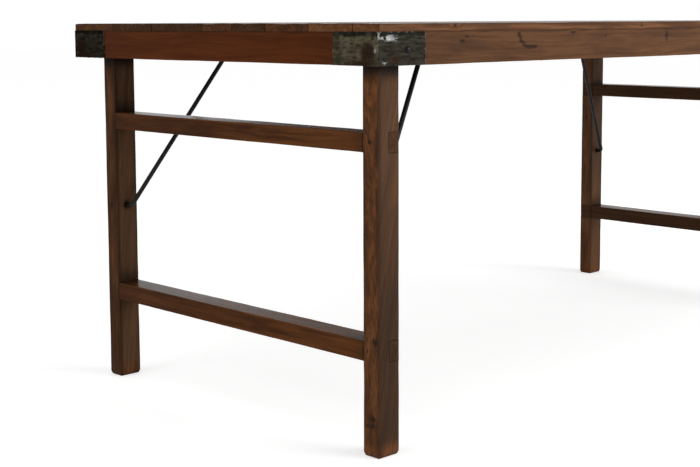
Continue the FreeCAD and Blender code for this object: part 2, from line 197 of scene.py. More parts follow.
def add_node(tree: Tree, kind: str, settings: dict | None = None,
             links: dict | None = None) -> bpy.types.Node:
    """Add one node with its settings and links.

    Args:
        tree: Node tree that takes the node.
        kind: Node type.
        settings: Node properties, or input values by name or index; "stops" fills a colour ramp.
        links: Output sockets that feed the inputs, by input name or index.

    Returns:
        The new node.
    """
    node = tree.nodes.new(kind)
    for key, value in (settings or {}).items():
        if key == "stops":
            stops = node.color_ramp.elements
            ready = len(stops)
            for index, (position, code) in enumerate(value):
                stop = stops[index] if index < ready else stops.new(position)
                stop.position = position
                stop.color = linear(code)
        elif isinstance(key, str) and hasattr(node, key):
            setattr(node, key, value)
        else:
            node.inputs[key].default_value = value
    for key, source in (links or {}).items():
        tree.links.new(source, node.inputs[key])
    return node


def new_material(name: str) -> tuple[bpy.types.Material, Tree, bpy.types.Node]:
    """Start a node material with one surface shader.

    Args:
        name: Material name.

    Returns:
        The material, its node tree and its shader node.
    """
    material = bpy.data.materials.new(name)
    material.use_nodes = True
    return material, material.node_tree, material.node_tree.nodes["Principled BSDF"]


def seen_share(tree: Tree) -> Socket:
    """Tell a look at a surface from light that it sends on.

    Args:
        tree: Node tree that takes the nodes.

    Returns:
        A socket that is 1 where the camera sees the surface, also in a reflection or through glass, else 0.
    """
    path = add_node(tree, "ShaderNodeLightPath").outputs
    seen = path["Is Camera Ray"]
    for ray in ("Is Glossy Ray", "Is Transmission Ray"):
        seen = add_node(tree, "ShaderNodeMath", {"operation": "MAXIMUM"}, {0: seen, 1: path[ray]}).outputs[0]
    return seen


def lumps(points: np.ndarray, size: float | Triple, seed: float) -> np.ndarray:
    """Smooth lumps from about 0 to 1.

    Args:
        points: Places in millimetres, one row each.
        size: Width of a lump, or its width along each axis.
        seed: Picks another set of lumps.

    Returns:
        One value for each place.
    """
    shift = Vector([seed * step + start for step, start in LUMP_STEPS])
    scaled = np.asarray(points, float) / np.asarray(size, float)
    return np.array([0.5 + 0.5 * noise.noise(Vector(place) + shift) for place in scaled])


def ramp(values: np.ndarray, start: float, end: float) -> np.ndarray:
    """Ease values from 0 at start to 1 at end."""
    share = np.clip((np.asarray(values, float) - start) / (end - start), 0.0, 1.0)
    return share * share * (3.0 - 2.0 * share)


def bell(distance: np.ndarray, width: float | np.ndarray) -> np.ndarray:
    """Fall from 1 at no distance to nearly 0 at twice the width."""
    return np.exp(-(distance / width) ** 2)


def strongest(*shares: np.ndarray) -> np.ndarray:
    """The largest of several shares at each place."""
    return np.maximum.reduce(np.broadcast_arrays(*shares))


def box_mm(node: str) -> tuple[np.ndarray, np.ndarray]:
    """Lowest and highest corner of a solid, in millimetres."""
    low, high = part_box(node)
    return np.array(low) * PER_METRE, np.array(high) * PER_METRE


def make_piece(name: str, points: np.ndarray, faces: np.ndarray | list[tuple[int, ...]],
               layers: dict[Layer, np.ndarray], sharp_deg: float = 38.0) -> bpy.types.Object:
    """Make a mesh piece in the table's frame.

    Args:
        name: Name of the piece.
        points: Corner points in millimetres.
        faces: Point numbers of each face.
        layers: Values per point that the finish reads.
        sharp_deg: Edges that turn by more than this stay crisp.

    Returns:
        The new object.
    """
    mesh = bpy.data.meshes.new(name)
    mesh.from_pydata((np.asarray(points) * MM).tolist(), [], [list(map(int, face)) for face in faces])
    mesh.update()
    for layer, values in layers.items():
        attribute = mesh.attributes.new(layer.value, "FLOAT", "POINT")
        attribute.data.foreach_set("value", np.asarray(values, np.float32))
    mesh.shade_smooth()
    mesh.set_sharp_from_angle(angle=math.radians(sharp_deg))
    piece = bpy.data.objects.new(name, mesh)
    bpy.context.scene.collection.objects.link(piece)
    return piece


def install(piece: bpy.types.Object, node: str, material: bpy.types.Material) -> None:
    """Put a dressed piece in place of a solid, on the solid's own body.

    Args:
        piece: The mesh piece.
        node: Solid that it stands for.
        material: Finish of the piece.
    """
    piece.data.materials.append(material)
    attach(piece, body_of(frame["nodes"][node])[0])
    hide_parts(node)
    LOG.info("%s: %d faces, %s", piece.name, len(piece.data.polygons), material.name)


def dress_solid(node: str, material: bpy.types.Material) -> None:
    """Give a solid that stays a finish.

    Args:
        node: Name of the solid.
        material: Its finish.
    """
    solid = frame["nodes"][node]
    solid.data.materials.clear()
    solid.data.materials.append(material)
    LOG.info("%s: solid, %s", node, material.name)


@dataclass(frozen=True)
class Mark:
    """A knot, crack or nail hole: its middle, its half sizes, and how far the growth rings bulge round it."""

    centre: Triple
    half: Triple
    bulge: float = 0.0


@dataclass(frozen=True)
class Finish:
    """A finish that shows as coats of colour over a ground, each as far as its own mask lets it cover."""

    name: str

    @staticmethod
    def lay_coats(tree: Tree, ground: str | Socket, coats: list[tuple[Socket, str]]) -> Socket:
        """Lay the coats over the ground.

        Args:
            tree: Node tree of the finish.
            ground: Colour under all coats, as a hex value or a socket.
            coats: Mask and hex colour of each coat, lowest first.

        Returns:
            The colour that shows.
        """
        for mask, code in coats:
            settings = {"data_type": "RGBA", MIX_OVER: linear(code)}
            links = {MIX_SHARE: mask}
            if isinstance(ground, str):
                settings[MIX_UNDER] = linear(ground)
            else:
                links[MIX_UNDER] = ground
            ground = add_node(tree, "ShaderNodeMix", settings, links).outputs[MIX_RESULT]
        return ground


@dataclass(frozen=True)
class WoodFinish(Finish):
    """Old teak, planed by hand, stained and waxed, then worn by years of use.

    The eye gets soft growth rings and long streaks, dark dirt in the pores and joints, orange wood where the
    arrises are rubbed bare, and a low wax sheen that turns grey at a flat angle. The dark coat also carries
    painted shade, and the grey coat painted sheen.
    """

    # Colours of dark, middling and light wood, of stained patches, and of wood rubbed bare
    deep: str
    middle: str
    light: str
    stain: str
    bare: str
    ring_width: float = 6.0
    ring_share: float = 0.1
    stain_share: float = 0.55
    bare_share: float = 0.45
    roughness: tuple[float, float] = (0.42, 0.6)
    shine: float = 0.05

    # Grey of dry wax and a dusting, also used as painted sheen
    DUST_COLOUR: ClassVar[str] = "#594332"
    # Near black of dirt, also used as painted shade
    GRIME_COLOUR: ClassVar[str] = "#1b120c"
    MARK_COLOUR: ClassVar[str] = "#1a100a"
    # Length along the fibres, width across them and detail of each pattern. Real pores are a third of a
    # millimetre wide: fibres and pores are drawn coarser, so that they show.
    FIGURE: ClassVar[dict[str, Triple]] = {
        "sway": (330.0, 46.0, 2.0),
        "streak": (330.0, 8.0, 3.0),
        "fibre": (140.0, 2.4, 2.0),
        "pore": (60.0, 1.6, 1.0),
        "patch": (130.0, 24.0, 3.0),
    }
    SWAY_REACH: ClassVar[float] = 34.0
    # Brightness through one growth ring, darkest in the late wood
    RING: ClassVar[tuple] = ((0.0, "#6a6a6a"), (0.12, "#ffffff"), (0.62, "#b4b4b4"), (0.94, "#202020"),
                             (1.0, "#6a6a6a"))
    TONE_SHARES: ClassVar[dict[str, float]] = {"streak": 0.6, "fibre": 0.6, "patch": 0.3}
    # Tones of the deep, middle and light colours on a board with faint rings
    FAINT_RINGS: ClassVar[float] = 0.1
    TONE_STOPS: ClassVar[Triple] = (0.64, 0.79, 0.95)
    RING_LIFT: ClassVar[float] = 0.45
    POLISHED_BY: ClassVar[float] = 0.3
    BUMP_STRENGTH: ClassVar[float] = 0.4
    PORE_DEPTH: ClassVar[float] = 0.5

    def material(self, board: str, grain: Grain, pith: Triple, seed: int, marks: tuple[Mark, ...] = (),
                 slant: float = 0.0) -> bpy.types.Material:
        """Draw the finish of one board.

        Args:
            board: Board that the finish is for.
            grain: The way its fibres run.
            pith: A point on the middle line of the log it was cut from.
            seed: Picks the board's own figure.
            marks: Knots and cracks on the board.
            slant: How far the fibres of an upright board lean along the table, in mm per mm of height.

        Returns:
            The material.
        """
        material, tree, shader = new_material(f"{self.name}.{board}")
        place = add_node(tree, "ShaderNodeTexCoord").outputs["Object"]
        mm = add_node(tree, "ShaderNodeVectorMath", {"operation": "SCALE", "Scale": PER_METRE},
                      {0: place}).outputs[0]
        swayed, patterns = self.draw_figure(tree, self.lean(tree, mm, slant) if slant else mm, grain, seed)
        radius = self.from_pith(tree, swayed, grain, pith)
        radius, spots = self.draw_marks(tree, mm, patterns["fibre"], radius, marks)
        tone = self.draw_tone(tree, radius, patterns)
        layers = {layer: add_node(tree, "ShaderNodeAttribute", {"attribute_name": layer.value}).outputs["Fac"]
                  for layer in (Layer.WORN, Layer.GRIME, Layer.DUST, Layer.POLISH)}
        coats = self.draw_coats(tree, patterns, layers)
        pores = coats[1][0]
        if spots is not None:
            coats.append((spots, self.MARK_COLOUR))
        lift = self.RING_LIFT * (self.ring_share - self.FAINT_RINGS)
        colours = (self.deep, self.middle, self.light)
        stops = tuple((stop + lift, code) for stop, code in zip(self.TONE_STOPS, colours))
        body = add_node(tree, "ShaderNodeValToRGB", {"stops": stops}, {0: tone})
        smoothest, roughest = self.roughness
        rough = add_node(tree, "ShaderNodeMapRange",
                         {"From Min": 0.3, "From Max": 0.7, "To Min": smoothest, "To Max": roughest},
                         {"Value": patterns["fibre"]})
        gloss = add_node(tree, "ShaderNodeMath", {"operation": "MULTIPLY_ADD", 1: -self.POLISHED_BY},
                         {0: layers[Layer.POLISH], 2: rough.outputs[0]})
        height = add_node(tree, "ShaderNodeMath", {"operation": "SUBTRACT"}, {0: tone, 1: pores})
        bump = add_node(tree, "ShaderNodeBump",
                        {"Strength": self.BUMP_STRENGTH, "Distance": self.PORE_DEPTH * MM},
                        {"Height": height.outputs[0]})
        tree.links.new(self.lay_coats(tree, body.outputs["Color"], coats), shader.inputs["Base Color"])
        tree.links.new(gloss.outputs[0], shader.inputs["Roughness"])
        tree.links.new(bump.outputs[0], shader.inputs["Normal"])
        shader.inputs["Specular IOR Level"].default_value = self.shine
        return material

    @staticmethod
    def lean(tree: Tree, mm: Socket, slant: float) -> Socket:
        """Shear the figure of an upright board.

        Args:
            tree: Node tree of the finish.
            mm: Places in millimetres.
            slant: Lean along the table, in mm per mm of height.

        Returns:
            Places on upright fibres.
        """
        rise = add_node(tree, "ShaderNodeVectorMath", {"operation": "DOT_PRODUCT", 1: (0.0, 0.0, slant)},
                        {0: mm})
        shift = add_node(tree, "ShaderNodeVectorMath", {"operation": "SCALE", 0: (-1.0, 0.0, 0.0)},
                         {"Scale": rise.outputs["Value"]})
        leaned = add_node(tree, "ShaderNodeVectorMath", {"operation": "ADD"}, {0: mm, 1: shift.outputs[0]})
        return leaned.outputs[0]

    def draw_figure(self, tree: Tree, upright: Socket, grain: Grain,
                    seed: int) -> tuple[Socket, dict[str, Socket]]:
        """Draw the patterns that follow the fibres.

        Args:
            tree: Node tree of the finish.
            upright: Places in millimetres, on fibres that don't lean.
            grain: The way the fibres run.
            seed: Picks the board's own figure.

        Returns:
            Places on the fibres as they sway, and each pattern by name.
        """
        swayed = upright
        patterns = {}
        for number, (pattern, (along, across, detail)) in enumerate(self.FIGURE.items()):
            scaled = add_node(tree, "ShaderNodeVectorMath",
                              {"operation": "MULTIPLY", 1: grain.scale(1 / along, 1 / across)}, {0: swayed})
            drawn = add_node(
                tree, "ShaderNodeTexNoise",
                {"noise_dimensions": "4D", "W": seed * 3.7 + number * 1.9, "Scale": 1.0, "Detail": detail},
                {"Vector": scaled.outputs[0]}).outputs
            patterns[pattern] = drawn["Fac"]
            if pattern == "sway":
                centred = add_node(tree, "ShaderNodeVectorMath",
                                   {"operation": "SUBTRACT", 1: (0.5, 0.5, 0.5)}, {0: drawn["Color"]})
                bend = add_node(tree, "ShaderNodeVectorMath",
                                {"operation": "MULTIPLY", 1: grain.scale(0.0, self.SWAY_REACH)},
                                {0: centred.outputs[0]})
                swayed = add_node(tree, "ShaderNodeVectorMath", {"operation": "ADD"},
                                  {0: upright, 1: bend.outputs[0]}).outputs[0]
        return swayed, patterns

    @staticmethod
    def from_pith(tree: Tree, swayed: Socket, grain: Grain, pith: Triple) -> Socket:
        """Measure the distance from the middle line of the log.

        Args:
            tree: Node tree of the finish.
            swayed: Places on the fibres.
            grain: The way the fibres run.
            pith: A point on the middle line.

        Returns:
            The distance in millimetres.
        """
        away = add_node(tree, "ShaderNodeVectorMath", {"operation": "SUBTRACT", 1: pith}, {0: swayed})
        flat = add_node(tree, "ShaderNodeVectorMath", {"operation": "MULTIPLY", 1: grain.scale(0.0, 1.0)},
                        {0: away.outputs[0]})
        distance = add_node(tree, "ShaderNodeVectorMath", {"operation": "LENGTH"}, {0: flat.outputs[0]})
        return distance.outputs["Value"]

    @staticmethod
    def draw_marks(tree: Tree, mm: Socket, fibre: Socket, radius: Socket,
                   marks: tuple[Mark, ...]) -> tuple[Socket, Socket | None]:
        """Draw knots and cracks, and bend the growth rings round them.

        Args:
            tree: Node tree of the finish.
            mm: Places in millimetres.
            fibre: Pattern that makes the marks ragged.
            radius: Distance from the pith.
            marks: The marks.

        Returns:
            The bent distance from the pith, and the mask of all marks if there are any.
        """
        spots = None
        for mark in marks:
            away = add_node(tree, "ShaderNodeVectorMath", {"operation": "SUBTRACT", 1: mark.centre}, {0: mm})
            share = add_node(tree, "ShaderNodeVectorMath", {"operation": "DIVIDE", 1: mark.half},
                             {0: away.outputs[0]})
            distance = add_node(tree, "ShaderNodeVectorMath", {"operation": "LENGTH"},
                                {0: share.outputs[0]}).outputs["Value"]
            ragged = add_node(tree, "ShaderNodeMath", {"operation": "MULTIPLY_ADD", 1: 2.2},
                              {0: fibre, 2: distance})
            soft = {"interpolation_type": "SMOOTHSTEP"}
            spot = add_node(tree, "ShaderNodeMapRange",
                            {**soft, "From Min": 2.3, "From Max": 1.2, "To Max": 0.85},
                            {"Value": ragged.outputs[0]}).outputs[0]
            if mark.bulge:
                halo = add_node(tree, "ShaderNodeMapRange",
                                {**soft, "From Min": 4.0, "From Max": 0.0, "To Max": mark.bulge},
                                {"Value": distance})
                radius = add_node(tree, "ShaderNodeMath", {"operation": "ADD"},
                                  {0: radius, 1: halo.outputs[0]}).outputs[0]
            if spots is None:
                spots = spot
            else:
                spots = add_node(tree, "ShaderNodeMath", {"operation": "MAXIMUM"},
                                 {0: spots, 1: spot}).outputs[0]
        return radius, spots

    def draw_tone(self, tree: Tree, radius: Socket, patterns: dict[str, Socket]) -> Socket:
        """Add growth rings, streaks and fibres up to one tone.

        Args:
            tree: Node tree of the finish.
            radius: Distance from the pith.
            patterns: Patterns by name.

        Returns:
            The tone, darker below and lighter above the middle stop.
        """
        turns = add_node(tree, "ShaderNodeMath", {"operation": "DIVIDE", 1: self.ring_width}, {0: radius})
        turn = add_node(tree, "ShaderNodeMath", {"operation": "FRACT"}, {0: turns.outputs[0]})
        ring = add_node(tree, "ShaderNodeValToRGB", {"stops": self.RING}, {0: turn.outputs[0]})
        tone = add_node(tree, "ShaderNodeMath", {"operation": "MULTIPLY", 1: self.ring_share},
                        {0: ring.outputs["Color"]})
        for pattern, share in self.TONE_SHARES.items():
            tone = add_node(tree, "ShaderNodeMath", {"operation": "MULTIPLY_ADD", 1: share},
                            {0: patterns[pattern], 2: tone.outputs[0]})
        return tone.outputs[0]

    def draw_coats(self, tree: Tree, patterns: dict[str, Socket],
                   layers: dict[Layer, Socket]) -> list[tuple[Socket, str]]:
        """Draw what lies over the wood's own colour.

        Args:
            tree: Node tree of the finish.
            patterns: Patterns by name.
            layers: Layers of the mesh.

        Returns:
            Mask and colour of the stain, the pores, bare wood, a grey dusting with painted sheen, and dirt
            with painted shade, in that order.
        """
        coats = []
        for pattern, start, end, share, code in (("patch", 0.56, 0.4, self.stain_share, self.stain),
                                                 ("pore", 0.6, 0.72, 0.6, self.deep)):
            mask = add_node(tree, "ShaderNodeMapRange", {"From Min": start, "From Max": end, "To Max": share},
                            {"Value": patterns[pattern]})
            coats.append((mask.outputs[0], code))
        rubbed = add_node(tree, "ShaderNodeMath", {"operation": "MULTIPLY"},
                          {0: layers[Layer.WORN], 1: patterns["streak"]})
        bare = add_node(tree, "ShaderNodeMapRange",
                        {"From Min": 0.18, "From Max": 0.55, "To Max": self.bare_share},
                        {"Value": rubbed.outputs[0]})
        # Grey of a dusting and of painted sheen, broken up along the streaks
        uneven = add_node(tree, "ShaderNodeMapRange", {"From Min": 0.3, "From Max": 0.62, "To Min": 0.45},
                          {"Value": patterns["streak"]})
        dust_and_sheen_share = add_node(tree, "ShaderNodeMath", {"operation": "MULTIPLY"},
                         {0: layers[Layer.DUST], 1: uneven.outputs[0]})
        return coats + [(bare.outputs[0], self.bare), (dust_and_sheen_share.outputs[0], self.DUST_COLOUR),
                        (layers[Layer.GRIME], self.GRIME_COLOUR)]


@dataclass(frozen=True)
class IronFinish(Finish):
    """Forged or rolled iron with its black scale, waxed over thin rust.

    The eye gets dark mottled patches a finger wide, dull brown rust in the hollows, and bare grey metal where
    hands and hammer have rubbed the scale off. On the plates the same bare metal also paints highlights.
    """

    # Colours of the black scale, of the patina and rust on it, of bare metal, which also paints highlights,
    # and of scale worn thin
    scale: str
    patina: str
    rust: str
    bare: str
    thin_scale: str = "#2a2925"
    # Widths of the patches and of the pits. Real pits are under half a millimetre wide: they are drawn
    # coarser, so that they show.
    mottle: float = 14.0
    grit: float = 2.6
    metallic: float = 0.75
    roughness: tuple[float, float] = (0.36, 0.6)
    rust_share: float = 0.5
    dent: float = 0.35
    rim_tint: str = "#ffffff"
    patina_layer: bool = False

    BUMP_STRENGTH: ClassVar[float] = 0.5
    RUBBED_SMOOTH_BY: ClassVar[float] = 0.14

    def material(self, piece: str, seed: int) -> bpy.types.Material:
        """Draw the finish of one piece of ironwork.

        Args:
            piece: Piece that the finish is for.
            seed: Picks the piece's own patches.

        Returns:
            The material.
        """
        material, tree, shader = new_material(f"{self.name}.{piece}")
        patterns = self.draw_patterns(tree, seed)
        coats = self.draw_coats(tree, patterns)
        brightest = coats[-1][0]
        smoothest, roughest = self.roughness
        rough = add_node(tree, "ShaderNodeMapRange",
                         {"From Min": 0.3, "From Max": 0.7, "To Min": smoothest, "To Max": roughest},
                         {"Value": patterns["mottle"]})
        smooth = add_node(tree, "ShaderNodeMath", {"operation": "MULTIPLY_ADD", 1: -self.RUBBED_SMOOTH_BY},
                          {0: brightest, 2: rough.outputs[0]})
        height = add_node(tree, "ShaderNodeMath", {"operation": "MULTIPLY_ADD", 1: 0.25},
                          {0: patterns["grit"], 2: patterns["mottle"]})
        bump = add_node(tree, "ShaderNodeBump", {"Strength": self.BUMP_STRENGTH, "Distance": self.dent * MM},
                        {"Height": height.outputs[0]})
        tree.links.new(self.lay_coats(tree, self.scale, coats), shader.inputs["Base Color"])
        tree.links.new(smooth.outputs[0], shader.inputs["Roughness"])
        tree.links.new(bump.outputs[0], shader.inputs["Normal"])
        shader.inputs["Metallic"].default_value = self.metallic
        shader.inputs["Specular Tint"].default_value = linear(self.rim_tint)
        return material

    def draw_patterns(self, tree: Tree, seed: int) -> dict[str, Socket]:
        """Draw mottling, the level streaks of rolling, rust, and the grit of pitted scale.

        Args:
            tree: Node tree of the finish.
            seed: Picks the piece's own patches.

        Returns:
            Each pattern by name.
        """
        place = add_node(tree, "ShaderNodeTexCoord").outputs["Object"]
        sizes = {
            "mottle": ((self.mottle, self.mottle, self.mottle * 0.8), 3.0),
            "streak": ((self.mottle * 1.7, self.mottle * 1.7, self.mottle * 0.34), 2.0),
            "rust": ((self.mottle * 1.1,) * 3, 4.0),
            "grit": ((self.grit,) * 3, 2.0),
        }
        patterns = {}
        for number, (pattern, (size, detail)) in enumerate(sizes.items()):
            per_lump = tuple(PER_METRE / width for width in size)
            scaled = add_node(tree, "ShaderNodeVectorMath", {"operation": "MULTIPLY", 1: per_lump},
                              {0: place})
            patterns[pattern] = add_node(
                tree, "ShaderNodeTexNoise",
                {"noise_dimensions": "4D", "W": seed * 2.9 + number * 1.7, "Scale": 1.0, "Detail": detail},
                {"Vector": scaled.outputs[0]}).outputs["Fac"]
        return patterns

    def draw_coats(self, tree: Tree, patterns: dict[str, Socket]) -> list[tuple[Socket, str]]:
        """Draw what lies over the black scale, or shows where it is gone.

        Args:
            tree: Node tree of the finish.
            patterns: Patterns by name.

        Returns:
            Mask and colour of each coat, with the brightest metal last.
        """
        layers = {layer: add_node(tree, "ShaderNodeAttribute", {"attribute_name": layer.value}).outputs["Fac"]
                  for layer in (Layer.WORN, Layer.GRIME, Layer.BRIGHT, Layer.RUST, Layer.PATINA)}
        scratched = add_node(tree, "ShaderNodeMath", {"operation": "MULTIPLY_ADD", 1: 0.5},
                             {0: patterns["grit"], 2: patterns["streak"]})
        thin = add_node(tree, "ShaderNodeMapRange", {"From Min": 0.6, "From Max": 1.02, "To Max": 0.5},
                        {"Value": scratched.outputs[0]})
        blotch = add_node(tree, "ShaderNodeMath", {"operation": "MULTIPLY_ADD", 1: 0.6},
                          {0: patterns["streak"], 2: patterns["mottle"]})
        patina = add_node(tree, "ShaderNodeMapRange", {"From Min": 0.55, "From Max": 1.05, "To Min": 0.04},
                          {"Value": blotch.outputs[0]})
        if self.patina_layer:
            patina = add_node(tree, "ShaderNodeMath", {"operation": "MULTIPLY"},
                              {0: patina.outputs[0], 1: layers[Layer.PATINA]})
        rusty = add_node(tree, "ShaderNodeMapRange",
                         {"From Min": 0.5, "From Max": 0.66, "To Max": self.rust_share},
                         {"Value": patterns["rust"]})
        coats = [(thin.outputs[0], self.thin_scale), (patina.outputs[0], self.patina),
                 (rusty.outputs[0], self.rust)]
        # A layer of the mesh says where a coat may lie, and two patterns break it up there
        for layer, pattern, code in ((Layer.RUST, "mottle", self.rust), (Layer.GRIME, "rust", self.scale),
                                     (Layer.WORN, "mottle", self.bare), (Layer.BRIGHT, "streak", self.bare)):
            broken = layers[layer]
            for breaker, share in ((pattern, 1.7), ("grit", 0.8)):
                broken = add_node(tree, "ShaderNodeMath", {"operation": "MULTIPLY_ADD", 1: share},
                                  {0: patterns[breaker], 2: broken}).outputs[0]
            mask = add_node(tree, "ShaderNodeMapRange", {"From Min": 1.55, "From Max": 2.15, "To Max": 0.9},
                            {"Value": broken})
            near = add_node(tree, "ShaderNodeMath", {"operation": "MULTIPLY", 1: 2.5, "use_clamp": True},
                            {0: layers[layer]})
            mask = add_node(tree, "ShaderNodeMath", {"operation": "MULTIPLY"},
                            {0: mask.outputs[0], 1: near.outputs[0]})
            coats.append((mask.outputs[0], code))
        return coats


def skin(lines: list[np.ndarray], filled: np.ndarray) -> tuple[np.ndarray, np.ndarray]:
    """Outer skin of a block of cells.

    Args:
        lines: Ruled lines along each axis.
        filled: Which cells between the lines are wood.

    Returns:
        Corner points, and the point numbers of each square face.
    """
    counts = tuple(len(line) for line in lines)
    padded = np.pad(filled, 1)
    quads = []
    for axis in range(3):
        first, second = (axis + 1) % 3, (axis + 2) % 3
        for side in (0, 1):
            beyond = np.roll(padded, 1 - 2 * side, axis)[1:-1, 1:-1, 1:-1]
            cells = np.argwhere(filled & ~beyond)
            cells[:, axis] += side
            ring = []
            for step_first, step_second in ((0, 0), (1, 0), (1, 1), (0, 1)):
                corner = cells.copy()
                corner[:, first] += step_first
                corner[:, second] += step_second
                ring.append(np.ravel_multi_index(tuple(corner.T), counts))
            quads.append(np.stack(ring if side else ring[::-1], 1))
    used, local = np.unique(np.concatenate(quads), return_inverse=True)
    index = np.unravel_index(used, counts)
    points = np.stack([lines[axis][index[axis]] for axis in range(3)], 1)
    return points, local.reshape(-1, 4)


def ruled(low: float, high: float, arris: float, step: float, extra: tuple[float, ...] = ()) -> np.ndarray:
    """Ruled lines across a board, close together at its arrises.

    Args:
        low: One side of the board.
        high: The other side.
        arris: Width of the rounded edge.
        step: Widest spacing inside.
        extra: More lines that have to be there.

    Returns:
        The lines in order.
    """
    near = np.array(ARRIS_LINES) * arris
    inner = np.linspace(low + near[-1], high - near[-1], max(2, math.ceil((high - low) / step)))
    lines = np.concatenate([low + near, inner, high - near, np.array(extra, float)])
    return np.unique(np.round(lines, 3))


@dataclass
class WornBoard:
    """A board with soft, uneven arrises, shallow hollows and dirt at its ends."""

    node: str
    grain: Grain
    finish: WoodFinish
    slot: str
    seed: int
    arris: float = 1.6
    wear: float = 1.3
    hollow: float = 0.35
    step: float = 9.0
    long_step: float = 12.0
    pith: Triple = (0.0, 34.0, -52.0)
    marks: tuple[Mark, ...] = ()
    slant: float = 0.0

    EDGE_REACH: ClassVar[float] = 7.0
    LEAST_ARRIS: ClassVar[float] = 0.15
    # Lengths along the fibres and widths across them
    LONG_DIP: ClassVar[tuple[float, float]] = (95.0, 40.0)
    SHORT_DIP: ClassVar[tuple[float, float]] = (26.0, 12.0)
    HOLLOW_SIZE: ClassVar[tuple[float, float]] = (160.0, 30.0)
    # A face that sits on another board comes true between these distances from it
    CLOSE_FIT: ClassVar[tuple[float, float]] = (4.0, 1.0)
    # A point this near to a face lies on it
    SKIN_DEPTH: ClassVar[float] = 0.1

    def __post_init__(self) -> None:
        """Read the board's place from its solid."""
        self.low, self.high = box_mm(self.node)
        self.middle = (self.low + self.high) / 2

    def extra_lines(self) -> tuple[tuple[float, ...], ...]:
        """More ruled lines along each axis."""
        return (), (), ()

    def is_wood(self, x: np.ndarray, y: np.ndarray, z: np.ndarray) -> np.ndarray:
        """Which places inside the board's box are wood."""
        return np.ones(x.shape, bool)

    def carve(self, points: np.ndarray, outward: np.ndarray) -> np.ndarray:
        """Shape the board further, as moved points."""
        return points

    def dirt(self, points: np.ndarray, outward: np.ndarray) -> np.ndarray:
        """Grime from 0 to 1: the end grain is darker."""
        return 0.35 * (np.abs(outward[:, self.grain.value]) > FACING)

    def rubbed(self, points: np.ndarray, outward: np.ndarray, edge: np.ndarray) -> np.ndarray:
        """Share of bare wood along the arrises."""
        return edge

    def dust(self, points: np.ndarray, outward: np.ndarray) -> np.ndarray:
        """Share of grey on a face. Dry wax and a dusting give it, and on some faces painted sheen."""
        return np.zeros(len(points))

    def crisp(self, points: np.ndarray) -> np.ndarray:
        """Share of the upright wear that is left off, where a board fits close to another."""
        return np.zeros(len(points))

    def polish(self, points: np.ndarray) -> np.ndarray:
        """Share of the polish that years of wiping have given."""
        return np.zeros(len(points))

    def worn_off(self, points: np.ndarray, edge: np.ndarray) -> np.ndarray:
        """How much wear has taken off the board, most of it along the arrises.

        Args:
            points: Places on the board before wear.
            edge: Nearness to an arris, from 0 to 1.

        Returns:
            Depth in millimetres.
        """
        long_dips = np.clip(lumps(points, self.grain.scale(*self.LONG_DIP), self.seed) - 0.35, 0, 1)
        short_dips = np.clip(lumps(points, self.grain.scale(*self.SHORT_DIP), self.seed + 0.5) - 0.5, 0, 1)
        hollows = lumps(points, self.grain.scale(*self.HOLLOW_SIZE), self.seed + 0.8)
        return self.wear * edge * (1.5 * long_dips + 1.3 * short_dips) + self.hollow * hollows

    def build(self) -> bpy.types.Object:
        """Make the board's mesh.

        Returns:
            The worn board.
        """
        extra = self.extra_lines()
        lines = []
        for axis in range(3):
            step = self.long_step if axis == self.grain.value else self.step
            lines.append(ruled(self.low[axis], self.high[axis], self.arris, step, extra[axis]))
        centres = [(line[1:] + line[:-1]) / 2 for line in lines]
        points, faces = skin(lines, self.is_wood(*np.meshgrid(*centres, indexing="ij")))
        core = np.clip(points, self.low + self.arris, self.high - self.arris)
        away = points - core
        length = np.linalg.norm(away, axis=1)
        off_core = length[:, None] > TINY
        outward = np.where(off_core, away / np.maximum(length, TINY)[:, None], 0.0)
        to_faces = np.minimum(points - self.low, self.high - points)
        edge = bell(np.sort(to_faces, axis=1)[:, 1], self.EDGE_REACH)
        kept = np.maximum(self.arris - self.worn_off(points, edge), self.LEAST_ARRIS * self.arris)
        # A point on the wall of a lap keeps its own depth below the face
        kept *= np.where(to_faces.min(1) > TINY, np.minimum(length / self.arris, 1.0), 1.0)
        shaped = np.where(off_core, core + outward * kept[:, None], points)
        shaped[:, 2] += self.crisp(points) * (points - shaped)[:, 2]
        shaped = self.carve(shaped, outward)
        layers = {
            Layer.WORN: self.rubbed(points, outward, edge),
            Layer.GRIME: np.clip(self.dirt(points, outward), 0, 1),
            Layer.DUST: self.dust(points, outward),
            Layer.POLISH: self.polish(points),
        }
        return make_piece(f"{self.node}.worn", shaped, faces, layers)

    def dress(self) -> bpy.types.Material:
        """Draw the board's own finish."""
        pith = tuple(self.middle + np.array(self.pith))
        return self.finish.material(self.node, self.grain, pith, self.seed, self.marks, self.slant)

    def put_in_place(self) -> None:
        """Build, dress and place the board."""
        install(self.build(), self.node, self.dress())


